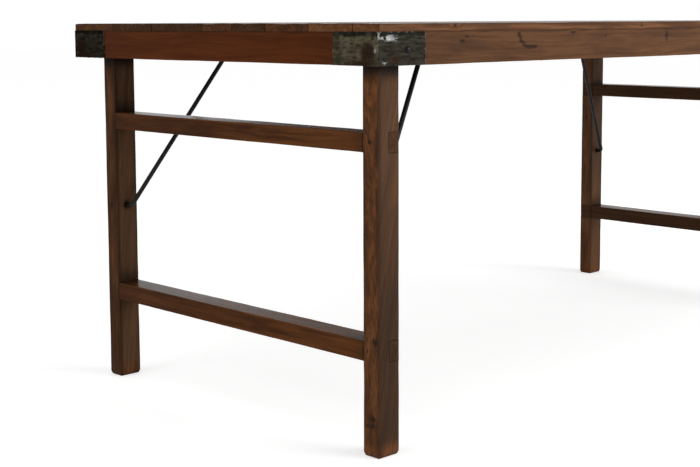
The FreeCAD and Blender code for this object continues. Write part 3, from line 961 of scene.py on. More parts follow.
@dataclass
class Plank(WornBoard):
    """A plank of the top, dished and chipped at its ends."""

    arris: float = 0.8
    wear: float = 0.6
    step: float = 8.0
    long_step: float = 14.0

    END_DIP: ClassVar[float] = 1.0
    END_REACH: ClassVar[float] = 45.0
    FRONT_DIP: ClassVar[float] = 0.5
    FRONT_REACH: ClassVar[float] = 90.0
    TOP_HOLLOW: ClassVar[float] = 0.3

    @classmethod
    def drop(cls, x: np.ndarray, y: np.ndarray, half_length: float) -> np.ndarray:
        """How far the worn top lies below the level top: most at the ends, and in front, where arms rub.

        Args:
            x: Places along the table.
            y: Places across the table.
            half_length: Half of the table's length.

        Returns:
            Depth in millimetres.
        """
        flat = np.stack([x, y, np.zeros_like(x)], 1)
        dished = cls.END_DIP * ramp(lumps(flat, (400.0, 34.0, 1.0), 4.2), 0.4, 0.75)
        ends = dished * bell(half_length - np.abs(x), cls.END_REACH)
        front = cls.FRONT_DIP * ramp(y, cls.FRONT_REACH - TABLE_HALF_WIDTH, -TABLE_HALF_WIDTH)
        return ends + front + cls.TOP_HOLLOW * lumps(flat, (220.0, 45.0, 1.0), 7.1)

    def carve(self, points: np.ndarray, outward: np.ndarray) -> np.ndarray:
        """Lower the top face where it is worn.

        Args:
            points: Points of the board.
            outward: Outward direction at each point.

        Returns:
            The moved points.
        """
        upper = ramp(points[:, 2], self.middle[2], self.high[2] - 1.0)
        points[:, 2] -= upper * self.drop(points[:, 0], points[:, 1], self.high[0])
        return points

    def crisp(self, points: np.ndarray) -> np.ndarray:
        """The underside sits close on the rails."""
        start, end = self.CLOSE_FIT
        return ramp(points[:, 2], self.low[2] + start, self.low[2] + end)

    def rubbed(self, points: np.ndarray, outward: np.ndarray, edge: np.ndarray) -> np.ndarray:
        """Bare wood on the arrises and on the sawn ends, less on the long sides."""
        arris_share = np.where(np.abs(outward[:, 1]) > FACING, 0.35, 1.0)
        return np.maximum(edge * arris_share, np.abs(outward[:, 0]) > FACING)

    def polish(self, points: np.ndarray) -> np.ndarray:
        """The top is wiped smooth, the edges stay dull."""
        return 0.7 * (points[:, 2] > self.high[2] - self.SKIN_DEPTH)

    def dirt(self, points: np.ndarray, outward: np.ndarray) -> np.ndarray:
        """Grime on the end grain and down in the joints between planks.

        Args:
            points: Points of the board.
            outward: Outward direction at each point.

        Returns:
            Share of grime at each point.
        """
        y, z = points[:, 1], points[:, 2]
        side = np.minimum(y - self.low[1], self.high[1] - y)
        inside = np.minimum(y + TABLE_HALF_WIDTH, TABLE_HALF_WIDTH - y) > 1.5
        on_top = outward[:, 2] > HALF_FACING
        seam = inside * np.where(on_top, 0.8 * bell(side, 2.0), 0.3 * bell(side, 0.8))
        upper = bell(z - self.high[2], 1.7) * (np.abs(outward[:, 2]) < 0.9)
        lower = bell(z - self.low[2], 1.2)
        return 0.04 * (np.abs(outward[:, 0]) > FACING) + seam + 0.8 * upper + 0.4 * lower


@dataclass
class Leg(WornBoard):
    """A leg with a rounded head, two laps and a socket for the brace rod."""

    arris: float = 0.9
    wear: float = 0.6
    hollow: float = 0.12
    step: float = 7.0
    long_step: float = 8.0
    foot_round: float = 3.2
    foot_height: float = 9.0
    rod_radius: float = 4.75
    socket_radius: float = 5.5
    socket_depth: float = 14.0
    scuff: tuple[float, float] = (45.0, 12.0)
    # Strength of painted shade up the inner face, where the table top shades it
    soot: float = 0.0
    end: End = End.LEFT
    corner: Corner = Corner.FRONT_LEFT

    SOCKET_LINES: ClassVar[tuple[float, ...]] = tuple(np.arange(-7.7, 8.0, 1.1))
    FOOT_LINES: ClassVar[tuple[float, ...]] = (6.2, 7.6)
    LAP_GAP: ClassVar[float] = 2.0

    def __post_init__(self) -> None:
        """Read the leg's place, its laps and its socket from the solids."""
        super().__post_init__()
        self.head = self.high[2] - (self.high[0] - self.low[0]) / 2
        self.laps = []
        for level in ("upper", "lower"):
            low, high = box_mm(f"{self.end.label}_{level}_stretcher")
            self.laps.append((low[2], high[2]))
        self.socket_z = box_mm(f"{self.corner.label}_brace_rod")[0][2] + self.rod_radius

    def extra_lines(self) -> tuple[tuple[float, ...], ...]:
        """Rule lines at the laps and close together round the socket.

        Returns:
            The lines along each axis.
        """
        gaps = (-self.LAP_GAP, 0.0, self.LAP_GAP)
        at_laps = [z + gap for lap in self.laps for z in lap for gap in gaps]
        at_socket = [self.socket_z + step for step in self.SOCKET_LINES]
        across = tuple(self.middle[0] + step for step in self.SOCKET_LINES)
        return across, (), (*at_laps, *self.FOOT_LINES, self.foot_height, *at_socket)

    def is_wood(self, x: np.ndarray, y: np.ndarray, z: np.ndarray) -> np.ndarray:
        """Leave the wood out of the laps, on the leg's inner half.

        Args:
            x: Places along the table.
            y: Places across the table.
            z: Heights.

        Returns:
            Which places are wood.
        """
        inner_half = (x - self.middle[0]) * self.end.value < 0
        in_lap = np.zeros(x.shape, bool)
        for bottom, top in self.laps:
            in_lap |= (z > bottom) & (z < top)
        return ~(inner_half & in_lap)

    def socket_share(self, points: np.ndarray, reach: float) -> np.ndarray:
        """How near places on the inner face are to the socket.

        Args:
            points: Points of the leg.
            reach: Distance at which the share is 0.

        Returns:
            Share from 0 to 1.
        """
        inner_face = self.low[1] if self.corner.side_sign > 0 else self.high[1]
        distance = np.hypot(points[:, 0] - self.middle[0], points[:, 2] - self.socket_z)
        return ramp(distance, reach, self.socket_radius - 0.9) * (np.abs(points[:, 1] - inner_face) < 2.0)

    def carve(self, points: np.ndarray, outward: np.ndarray) -> np.ndarray:
        """Round the head about the pivot, bore the socket and round the foot.

        Args:
            points: Points of the leg.
            outward: Outward direction at each point.

        Returns:
            The moved points.
        """
        share = self.socket_share(points, self.socket_radius)
        points[:, 1] += self.corner.side_sign * self.socket_depth * share
        offset = points[:, [0, 2]] - np.array([self.middle[0], self.head])
        reach = np.maximum(np.linalg.norm(offset, axis=1), TINY)
        scale = np.where(offset[:, 1] > 0, np.abs(offset).max(1) / reach, 1.0)
        points[:, 0] = self.middle[0] + offset[:, 0] * scale
        points[:, 2] = self.head + offset[:, 1] * scale
        inset = self.foot_round * np.clip(1.0 - points[:, 2] / self.foot_height, 0.0, 1.0) ** 2
        for axis in (0, 1):
            away = points[:, axis] - self.middle[axis]
            half = (self.high[axis] - self.low[axis]) / 2
            points[:, axis] -= inset * np.clip(away / half, -1.0, 1.0)
        return points

    def rubbed(self, points: np.ndarray, outward: np.ndarray, edge: np.ndarray) -> np.ndarray:
        """Bare wood in a wandering stripe down the faces towards the table's ends, and on the scuffed foot.

        Args:
            points: Points of the leg.
            outward: Outward direction at each point.
            edge: Nearness to an arris.

        Returns:
            Share of bare wood at each point.
        """
        outwards = (points[:, 1] - self.middle[1]) * self.corner.side_sign
        wander = 30.0 * (lumps(points, (90.0, 90.0, 120.0), self.seed + 0.3) - 0.5)
        stripe = wander + 3.0 - 13.0 * ramp(points[:, 2], 330.0, 130.0)
        patchy = ramp(lumps(points, (50.0, 50.0, 34.0), self.seed + 0.7), 0.2, 0.6)
        bare = bell(outwards - stripe, 7.0) * (0.1 + 0.7 * patchy) * (np.abs(outward[:, 0]) > 0.45)
        return np.maximum(bare, 0.7 * ramp(points[:, 2], *self.scuff))

    def dust(self, points: np.ndarray, outward: np.ndarray) -> np.ndarray:
        """The faces along the table's sides and under its middle are dry and grey, and the side faces also get
        painted sheen.
        """
        inner = outward[:, 0] * self.end.value < -FACING
        # Painted sheen and a dusting on the side faces, a dusting alone on the inner faces
        return strongest(0.6 * (np.abs(outward[:, 1]) > FACING), 0.35 * inner) * ramp(points[:, 2], 0.0, 45.0)

    def dirt(self, points: np.ndarray, outward: np.ndarray) -> np.ndarray:
        """Dirt in the joints and on the foot, darkening round the socket, painted shade at the head under the
        rails and up the right frame's inner faces, and darkening towards the foot on the outer long-side face.

        Args:
            points: Points of the leg.
            outward: Outward direction at each point.

        Returns:
            Share of grime at each point.
        """
        z = points[:, 2]
        outwards = outward[:, 1] * self.corner.side_sign
        inner_face = outwards < -HALF_FACING
        on_side = np.abs(outward[:, 1]) > HALF_FACING
        low_down = ramp(z, 670.0, 160.0) * ramp(z, 5.0, 40.0)
        return strongest(
            0.9 * self.socket_share(points, self.socket_radius * 2.4),
            # Painted shade at the head of the leg, under the rails
            0.95 * ramp(z, 660.0, 684.0),
            # Painted shade up the inner faces of the right frame, under the table top
            self.soot * inner_face * ramp(z, 180.0, 420.0),
            # Darker towards the foot on the outer long-side face
            0.6 * low_down * (outwards > HALF_FACING),
            0.5 * np.exp(-z / 3.0),
            self.lap_dirt(points, inner_face),
            self.arris_dirt(points, inner_face, on_side),
        )

    def lap_dirt(self, points: np.ndarray, inner_face: np.ndarray) -> np.ndarray:
        """Grime in the joints of the laps, and smeared up the inner face in the corner above each bar.

        Args:
            points: Points of the leg.
            inner_face: Which points lie on the face towards the other leg.

        Returns:
            Share of grime at each point.
        """
        z = points[:, 2]
        along = points[:, 0] - self.middle[0]
        inner_half = along * self.end.value < 0.5
        ragged = 14.0 + 18.0 * lumps(points, 14.0, self.seed + 0.4)
        shares = []
        for bottom, top in self.laps:
            for joint in (bottom, top):
                shares.append(0.85 * bell(z - joint, 1.6) * inner_half)
            shares.append(0.8 * bell(along, 1.5) * ((z > bottom) & (z < top)))
            rise = np.where(z > top - 1.0, z - top, FAR)
            shares.append(0.72 * inner_face * bell(rise, ragged))
        return strongest(*shares)

    def arris_dirt(self, points: np.ndarray, inner_face: np.ndarray, on_side: np.ndarray) -> np.ndarray:
        """Dark lines of dirt that follow the arrises.

        Args:
            points: Points of the leg.
            inner_face: Which points lie on the face towards the other leg.
            on_side: Which points lie on that face or on the opposite one.

        Returns:
            Share of grime at each point.
        """
        under, outer = self.high[0], self.low[0]
        if self.end is End.RIGHT:
            under, outer = outer, under
        to_side = np.minimum(np.abs(points[:, 1] - self.low[1]), np.abs(points[:, 1] - self.high[1]))
        inwards = (points[:, 1] - self.middle[1]) * self.corner.side_sign < 0
        inner_line = 0.5 * ramp(points[:, 2], 120.0, 330.0) * bell(to_side, 5.0)
        return strongest(
            0.65 * inner_face * bell(points[:, 0] - under, 3.0),
            0.8 * on_side * bell(np.abs(points[:, 0] - outer) - 2.2, 1.3),
            ~on_side * np.where(inwards, inner_line, 0.5 * bell(to_side, 2.6)),
        )


@dataclass
class Stretcher(WornBoard):
    """A cross bar whose half-thick tongues go through the legs."""

    arris: float = 0.9
    wear: float = 0.6
    hollow: float = 0.1
    step: float = 7.0
    long_step: float = 10.0
    end: End = End.LEFT

    SHOULDER_FIT: ClassVar[float] = 3.0

    def __post_init__(self) -> None:
        """Read the bar's place and its shoulders from the solids."""
        super().__post_init__()
        self.shoulder = box_mm(f"rear_{self.end.label}_leg")[0][1]

    def extra_lines(self) -> tuple[tuple[float, ...], ...]:
        """Lines at the tongue's face and at the shoulders."""
        fitted = self.shoulder - self.SHOULDER_FIT
        return (self.middle[0],), (self.shoulder, -self.shoulder, fitted, -fitted), ()

    def is_wood(self, x: np.ndarray, y: np.ndarray, z: np.ndarray) -> np.ndarray:
        """The tongues keep the inner half only."""
        inner_half = (x - self.middle[0]) * self.end.value < 0
        return inner_half | (np.abs(y) < self.shoulder)

    def crisp(self, points: np.ndarray) -> np.ndarray:
        """The tongues fit close in the legs' laps."""
        return ramp(np.abs(points[:, 1]), self.shoulder - self.SHOULDER_FIT, self.shoulder)

    def polish(self, points: np.ndarray) -> np.ndarray:
        """Feet and cloths have rubbed the top of the bar, more towards the rear."""
        on_top = points[:, 2] > self.high[2] - self.SKIN_DEPTH
        return on_top * (0.45 + 0.5 * ramp(points[:, 1], -260.0, 160.0))

    def rubbed(self, points: np.ndarray, outward: np.ndarray, edge: np.ndarray) -> np.ndarray:
        """Bare wood on the arrises, and on the outer face towards the front, where feet have rubbed it and
        where it is also painted light against the front leg's shade.
        """
        # Bare wood towards the front, partly painted light that offsets the shade of the front leg
        pushed_and_lightened = 0.95 * ramp(points[:, 1], -40.0, -330.0) * (outward[:, 0] * self.end.value > FACING)
        return np.maximum(edge * (0.45 + 0.55 * ramp(points[:, 1], 250.0, -100.0)), pushed_and_lightened)

    def dust(self, points: np.ndarray, outward: np.ndarray) -> np.ndarray:
        """The tongues' ends and the faces under the table's middle are dry and grey, and the tongues' ends
        also get painted sheen.
        """
        inner = outward[:, 0] * self.end.value < -FACING
        # Painted sheen and a dusting on the tongues' ends, a dusting alone on the inner faces
        return np.maximum(0.6 * (np.abs(outward[:, 1]) > FACING), 0.5 * inner)

    def dirt(self, points: np.ndarray, outward: np.ndarray) -> np.ndarray:
        """Grime at the shoulders, in the corners by the legs, and round the tongues' end grain.

        Args:
            points: Points of the bar.
            outward: Outward direction at each point.

        Returns:
            Share of grime at each point.
        """
        across = np.abs(points[:, 1])
        gap = np.maximum(self.shoulder - across, 0.0)
        ragged = 12.0 + 24.0 * lumps(points, 16.0, self.seed + 0.4)
        to_rim = np.minimum(points[:, 2] - self.low[2], self.high[2] - points[:, 2])
        to_rim = np.minimum(to_rim, np.abs(points[:, 0] - self.middle[0]))
        low_end = 0.38 * ramp(self.high[2], 500.0, 200.0)
        return strongest(
            0.8 * bell(across - self.shoulder, 3.5),
            0.3 * (outward[:, 0] * self.end.value < -FACING),
            np.where(outward[:, 2] > HALF_FACING, 0.7, 0.3) * bell(gap, ragged),
            (np.abs(outward[:, 1]) > 0.7) * (0.1 + low_end + 0.45 * bell(to_rim, 1.5)),
        )


@dataclass
class PlankTop:
    """The plank top and the square nails that hold it."""

    nail_side: float = 5.0
    nail_rise: float = 0.25

    # Own tones of the planks, front one first: the photo's plank ends go from orange to dark brown
    TONES: ClassVar[tuple[Tone, ...]] = (Tone.WARM, Tone.WARM, Tone.BROWN, Tone.DARK, Tone.BROWN, Tone.DARK,
                                         Tone.DARK, Tone.BROWN)
    # Heights and widths up a nail: in mm below its widest place, and as shares of its rise above it
    NAIL_PROFILE: ClassVar[tuple[tuple[float, float], ...]] = (
        (-9.0, 0.55), (-1.2, 0.8), (0.0, 1.0), (0.7, 0.8), (1.0, 0.3))
    NAIL_TURN: ClassVar[float] = 0.35

    def nail_places(self) -> np.ndarray:
        """Middles of the nail heads, from the solids.

        Returns:
            One row of x and y for each nail.
        """
        corners = np.array([v.co for v in frame["nodes"]["plank_nails"].data.vertices]) * PER_METRE
        tops = corners[corners[:, 2] > corners[:, 2].max() - 0.5][:, :2]
        cells = np.round(tops / (2 * self.nail_side)).astype(int)
        apart = self.nail_side * 1.1
        places: list[np.ndarray] = []
        for corner in tops[np.lexsort(cells.T)]:
            if not places or min(np.abs(np.array(places) - corner).max(1)) > apart:
                near = tops[np.abs(tops - corner).max(1) < apart]
                places.append((near.min(0) + near.max(0)) / 2)
        return np.array(places)

    def build_nails(self) -> bpy.types.Object:
        """Make all nail heads, each a hammered square that is sunk in the worn top.

        Returns:
            One piece with every nail.
        """
        top = box_mm("plank_nails")[1][2]
        places = self.nail_places()
        drops = Plank.drop(places[:, 0], places[:, 1], box_mm("top_plank_1")[1][0])
        points, faces = [], []
        for (x, y), drop in zip(places, drops):
            turn = self.NAIL_TURN * noise.noise(Vector((x * 0.11, y * 0.13, 3.3)))
            level = top - drop - self.nail_rise
            start = len(points)
            for rise, width in self.NAIL_PROFILE:
                z = level + (rise * self.nail_rise if rise > 0 else rise)
                reach = self.nail_side / 2 * width * math.sqrt(2)
                for corner in range(4):
                    angle = turn + math.radians(45 + 90 * corner)
                    points.append((x + reach * math.cos(angle), y + reach * math.sin(angle), min(z, top)))
            last = len(points) - 4
            for ring in range(start, last, 4):
                for corner in range(4):
                    a, b = ring + corner, ring + (corner + 1) % 4
                    faces.append((a, b, b + 4, a + 4))
            faces.append((last, last + 1, last + 2, last + 3))
            faces.append((start + 3, start + 2, start + 1, start))
        points = np.array(points)
        worn = ramp(points[:, 2], top - 4.0, top)
        return make_piece("plank_nails.forged", points, faces,
                          {Layer.WORN: 0.5 * worn, Layer.GRIME: 0.4 * (1 - worn)})

    def put_in_place(self, finishes: dict[Tone, WoodFinish], nail_iron: IronFinish) -> None:
        """Build, dress and place the planks and their nails.

        Args:
            finishes: Wood finishes by tone.
            nail_iron: Finish of the nails.
        """
        for number, tone in enumerate(self.TONES, start=1):
            side = 1 if number % 2 else -1
            plank = Plank(f"top_plank_{number}", Grain.ALONG_TABLE, finishes[tone], "plank_wood", 10 + number,
                          pith=(0.0, side * (12.0 + 5 * number), -38.0 - 6.0 * number),
                          marks=self.edge_marks() if number == 1 else self.knots(number))
            plank.put_in_place()
        install(self.build_nails(), "plank_nails", nail_iron.material("plank_nails", 5))

    @staticmethod
    def edge_marks() -> tuple[Mark, ...]:
        """Knots and a crack on the front edge of the first plank.

        Returns:
            The marks, at their places in the photo.
        """
        left, front, _ = box_mm("top_plank_1")[0]
        return (
            Mark((-725.0, front, 756.0), (7.0, 6.0, 4.5), 5.0),
            Mark((left, front, 755.0), (3.5, 3.5, 12.0)),
            Mark((-158.0, front, 755.0), (4.0, 4.0, 6.0), 3.0),
        )

    @staticmethod
    def knots(number: int) -> tuple[Mark, ...]:
        """Two knots on the top of a plank.

        Args:
            number: Plank number.

        Returns:
            The knots, at places of that plank's own.
        """
        low, high = box_mm(f"top_plank_{number}")
        knots = []
        for turn in (0.0, 0.55):
            share = (number * 0.381966 + turn) % 1.0
            across = (number * 0.723 + turn) % 1.0
            x = low[0] + (high[0] - low[0]) * (0.08 + 0.84 * share)
            y = low[1] + (high[1] - low[1]) * (0.25 + 0.5 * across)
            size = 6.0 + 5.0 * across
            knots.append(Mark((x, y, high[2]), (size * 1.3, size, 30.0), 9.0))
        return tuple(knots)


@dataclass
class Rail(WornBoard):
    """A rail or batten under the planks."""

    arris: float = 1.3
    wear: float = 0.7
    hollow: float = 0.2

    def crisp(self, points: np.ndarray) -> np.ndarray:
        """The upper side sits close under the planks."""
        start, end = self.CLOSE_FIT
        return ramp(points[:, 2], self.high[2] - start, self.high[2] - end)

    def dirt(self, points: np.ndarray, outward: np.ndarray) -> np.ndarray:
        """Grime on end grain, in the joint under the planks, and from hands towards the ends.

        Args:
            points: Points of the rail.
            outward: Outward direction at each point.

        Returns:
            Share of grime at each point.
        """
        axis = self.grain.value
        joint = 0.75 * bell(self.high[2] - points[:, 2], 2.2) * lumps(points, 40.0, self.seed + 0.2) * 1.6
        hands = 0.16 * ramp(np.abs(points[:, axis]) / self.high[axis], 0.45, 0.85)
        return strongest(super().dirt(points, outward), joint, hands)


@dataclass
class RailFrame:
    """Long rails, end rails, centre rail and the battens under the top."""

    # Places along the front rail and heights of the spots that make up its dark curved mark
    CURVED_MARK: ClassVar[tuple[tuple[float, float], ...]] = (
        (-550.0, 741.0), (-548.5, 737.5), (-546.5, 734.0), (-544.5, 730.5), (-542.0, 727.0), (-538.5, 723.5),
        (-534.0, 720.5), (-528.5, 718.5), (-522.5, 717.3), (-516.0, 716.5))

    def front_marks(self) -> tuple[Mark, ...]:
        """Knots, cracks and nail holes of the front rail.

        Returns:
            The marks, at their places in the photo.
        """
        front = box_mm("front_rail")[0][1]
        return (
            Mark((-706.5, front, 729.0), (9.0, 6.0, 5.0), 9.0),
            Mark((-694.0, front, 737.0), (9.0, 5.0, 3.0)),
            *(Mark((x, front, z), (7.0, 5.0, 5.2)) for x, z in self.CURVED_MARK),
            Mark((-506.0, front, 716.5), (12.0, 5.0, 4.6)),
            Mark((-386.0, front, 742.0), (9.0, 4.0, 2.6)),
            Mark((-282.0, front, 734.0), (4.0, 4.0, 4.0)),
            Mark((-67.0, front, 732.0), (6.5, 5.0, 15.0)),
        )

    @staticmethod
    def rear_marks() -> tuple[Mark, ...]:
        """Knots and a crack of the rear rail.

        Returns:
            The marks.
        """
        rear = box_mm("rear_rail")[1][1]
        return (
            Mark((330.0, rear, 722.0), (11.0, 8.0, 6.0), 10.0),
            Mark((-420.0, rear, 735.0), (16.0, 5.0, 3.0)),
            Mark((610.0, rear, 712.0), (8.0, 6.0, 5.0), 8.0),
        )

    def put_in_place(self, finishes: dict[Tone, WoodFinish]) -> None:
        """Build, dress and place the rails and battens.

        Args:
            finishes: Wood finishes by tone.
        """
        rows = (
            ("front_rail", Grain.ALONG_TABLE, Tone.LONG_RAIL, 31, (0.0, 22.0, -60.0), self.front_marks()),
            ("rear_rail", Grain.ALONG_TABLE, Tone.LONG_RAIL, 32, (0.0, -26.0, -50.0), self.rear_marks()),
            ("left_end_rail", Grain.ACROSS_TABLE, Tone.END_RAIL, 33, (64.0, 0.0, -30.0), ()),
            ("right_end_rail", Grain.ACROSS_TABLE, Tone.END_RAIL, 34, (-58.0, 0.0, -36.0), ()),
            ("centre_rail", Grain.ACROSS_TABLE, Tone.BROWN, 35, (30.0, 0.0, -40.0), ()),
            ("left_eye_batten", Grain.ACROSS_TABLE, Tone.BROWN, 36, (22.0, 0.0, -30.0), ()),
            ("right_eye_batten", Grain.ACROSS_TABLE, Tone.BROWN, 37, (-18.0, 0.0, -34.0), ()),
        )
        for node, grain, tone, seed, pith, marks in rows:
            Rail(node, grain, finishes[tone], "rail_wood", seed, pith=pith, marks=marks).put_in_place()


@dataclass
class LegFrame:
    """One folding leg frame: two legs, two stretchers and the pegs of their laps."""

    end: End
    seed: int

    # The near leg's knots in the photo, by the lower bar and above the foot: y and z, half sizes, bulge
    NEAR_KNOTS: ClassVar[tuple[tuple[tuple[float, float], Triple, float], ...]] = (
        ((-405.0, 208.0), (5.0, 11.0, 7.5), 7.0),
        ((-400.0, 70.0), (5.0, 13.0, 8.0), 9.0),
        ((-399.0, 58.0), (5.0, 14.0, 8.0), 0.0),
        ((-387.0, 56.0), (5.0, 8.0, 5.0), 0.0),
        ((-386.5, 189.0), (4.0, 4.0, 4.0), 0.0),
        ((-394.0, 558.0), (5.0, 9.0, 4.0), 0.0),
    )
    # Lean of the fibres, in mm per mm of height
    NEAR_SLANT: ClassVar[float] = 0.22
    SLANT: ClassVar[float] = 0.1
    # The right frame is scuffed higher up, and has painted shade that grows up its inner faces towards the
    # table top
    RIGHT_SCUFF: ClassVar[tuple[float, float]] = (195.0, 150.0)
    RIGHT_SOOT: ClassVar[float] = 0.34

    def put_in_place(self, finishes: dict[Tone, WoodFinish]) -> None:
        """Build, dress and place the frame's pieces.

        Args:
            finishes: Wood finishes by tone.
        """
        for corner in Corner:
            if corner.end_sign == self.end.value:
                self.make_leg(corner, finishes).put_in_place()
        for number, level in enumerate(("upper", "lower"), start=3):
            node = f"{self.end.label}_{level}_stretcher"
            Stretcher(node, Grain.ACROSS_TABLE, finishes[Tone.STRETCHER], "leg_wood", self.seed + number,
                      end=self.end, pith=(self.end.value * -50.0, 0.0, -20.0)).put_in_place()
        pegs = f"{self.end.label}_lap_pegs"
        low, high = box_mm(pegs)
        middle = tuple((low + high) / 2)
        dress_solid(pegs, finishes[Tone.PEG].material(pegs, Grain.ALONG_TABLE, middle, self.seed + 7))

    def make_leg(self, corner: Corner, finishes: dict[Tone, WoodFinish]) -> Leg:
        """Choose a leg's wood, marks and wear.

        Args:
            corner: Corner where the leg stands.
            finishes: Wood finishes by tone.

        Returns:
            The leg, ready to build.
        """
        node = f"{corner.label}_leg"
        seed = self.seed + (1 if corner.side_sign < 0 else 2)
        tone = Tone.FAR_LEG if corner is Corner.REAR_LEFT else Tone.LEG
        on_right = self.end is End.RIGHT
        return Leg(node, Grain.UPRIGHT, finishes[tone], "leg_wood", seed, end=self.end, corner=corner,
                   pith=(corner.end_sign * 8.0, -corner.side_sign * 46.0, 0.0),
                   marks=self.knots(corner, node, seed),
                   slant=self.NEAR_SLANT if corner is Corner.FRONT_LEFT else self.SLANT,
                   scuff=self.RIGHT_SCUFF if on_right else Leg.scuff,
                   soot=self.RIGHT_SOOT if on_right else Leg.soot)

    def knots(self, corner: Corner, node: str, seed: int) -> tuple[Mark, ...]:
        """Small knots on the faces of a leg.

        Args:
            corner: Corner where the leg stands.
            node: Leg that has the knots.
            seed: Picks their places.

        Returns:
            The knots: the photo's own on the near leg, three on any other.
        """
        low, high = box_mm(node)
        if corner is Corner.FRONT_LEFT:
            return tuple(Mark((low[0], y, z), half, bulge) for (y, z), half, bulge in self.NEAR_KNOTS)
        knots = []
        for index in range(3):
            height = 90.0 + 560.0 * ((seed * 0.618 + index * 0.37) % 1.0)
            if (seed + index) % 2:
                centre = (low[0] if seed % 3 else high[0], low[1] + 12.0 + 9.0 * index, height)
            else:
                centre = (low[0] + 14.0 + 10.0 * index, low[1] if low[1] < 0 else high[1], height)
            knots.append(Mark(centre, (5.0, 5.0, 8.0), 7.0))
        return tuple(knots)


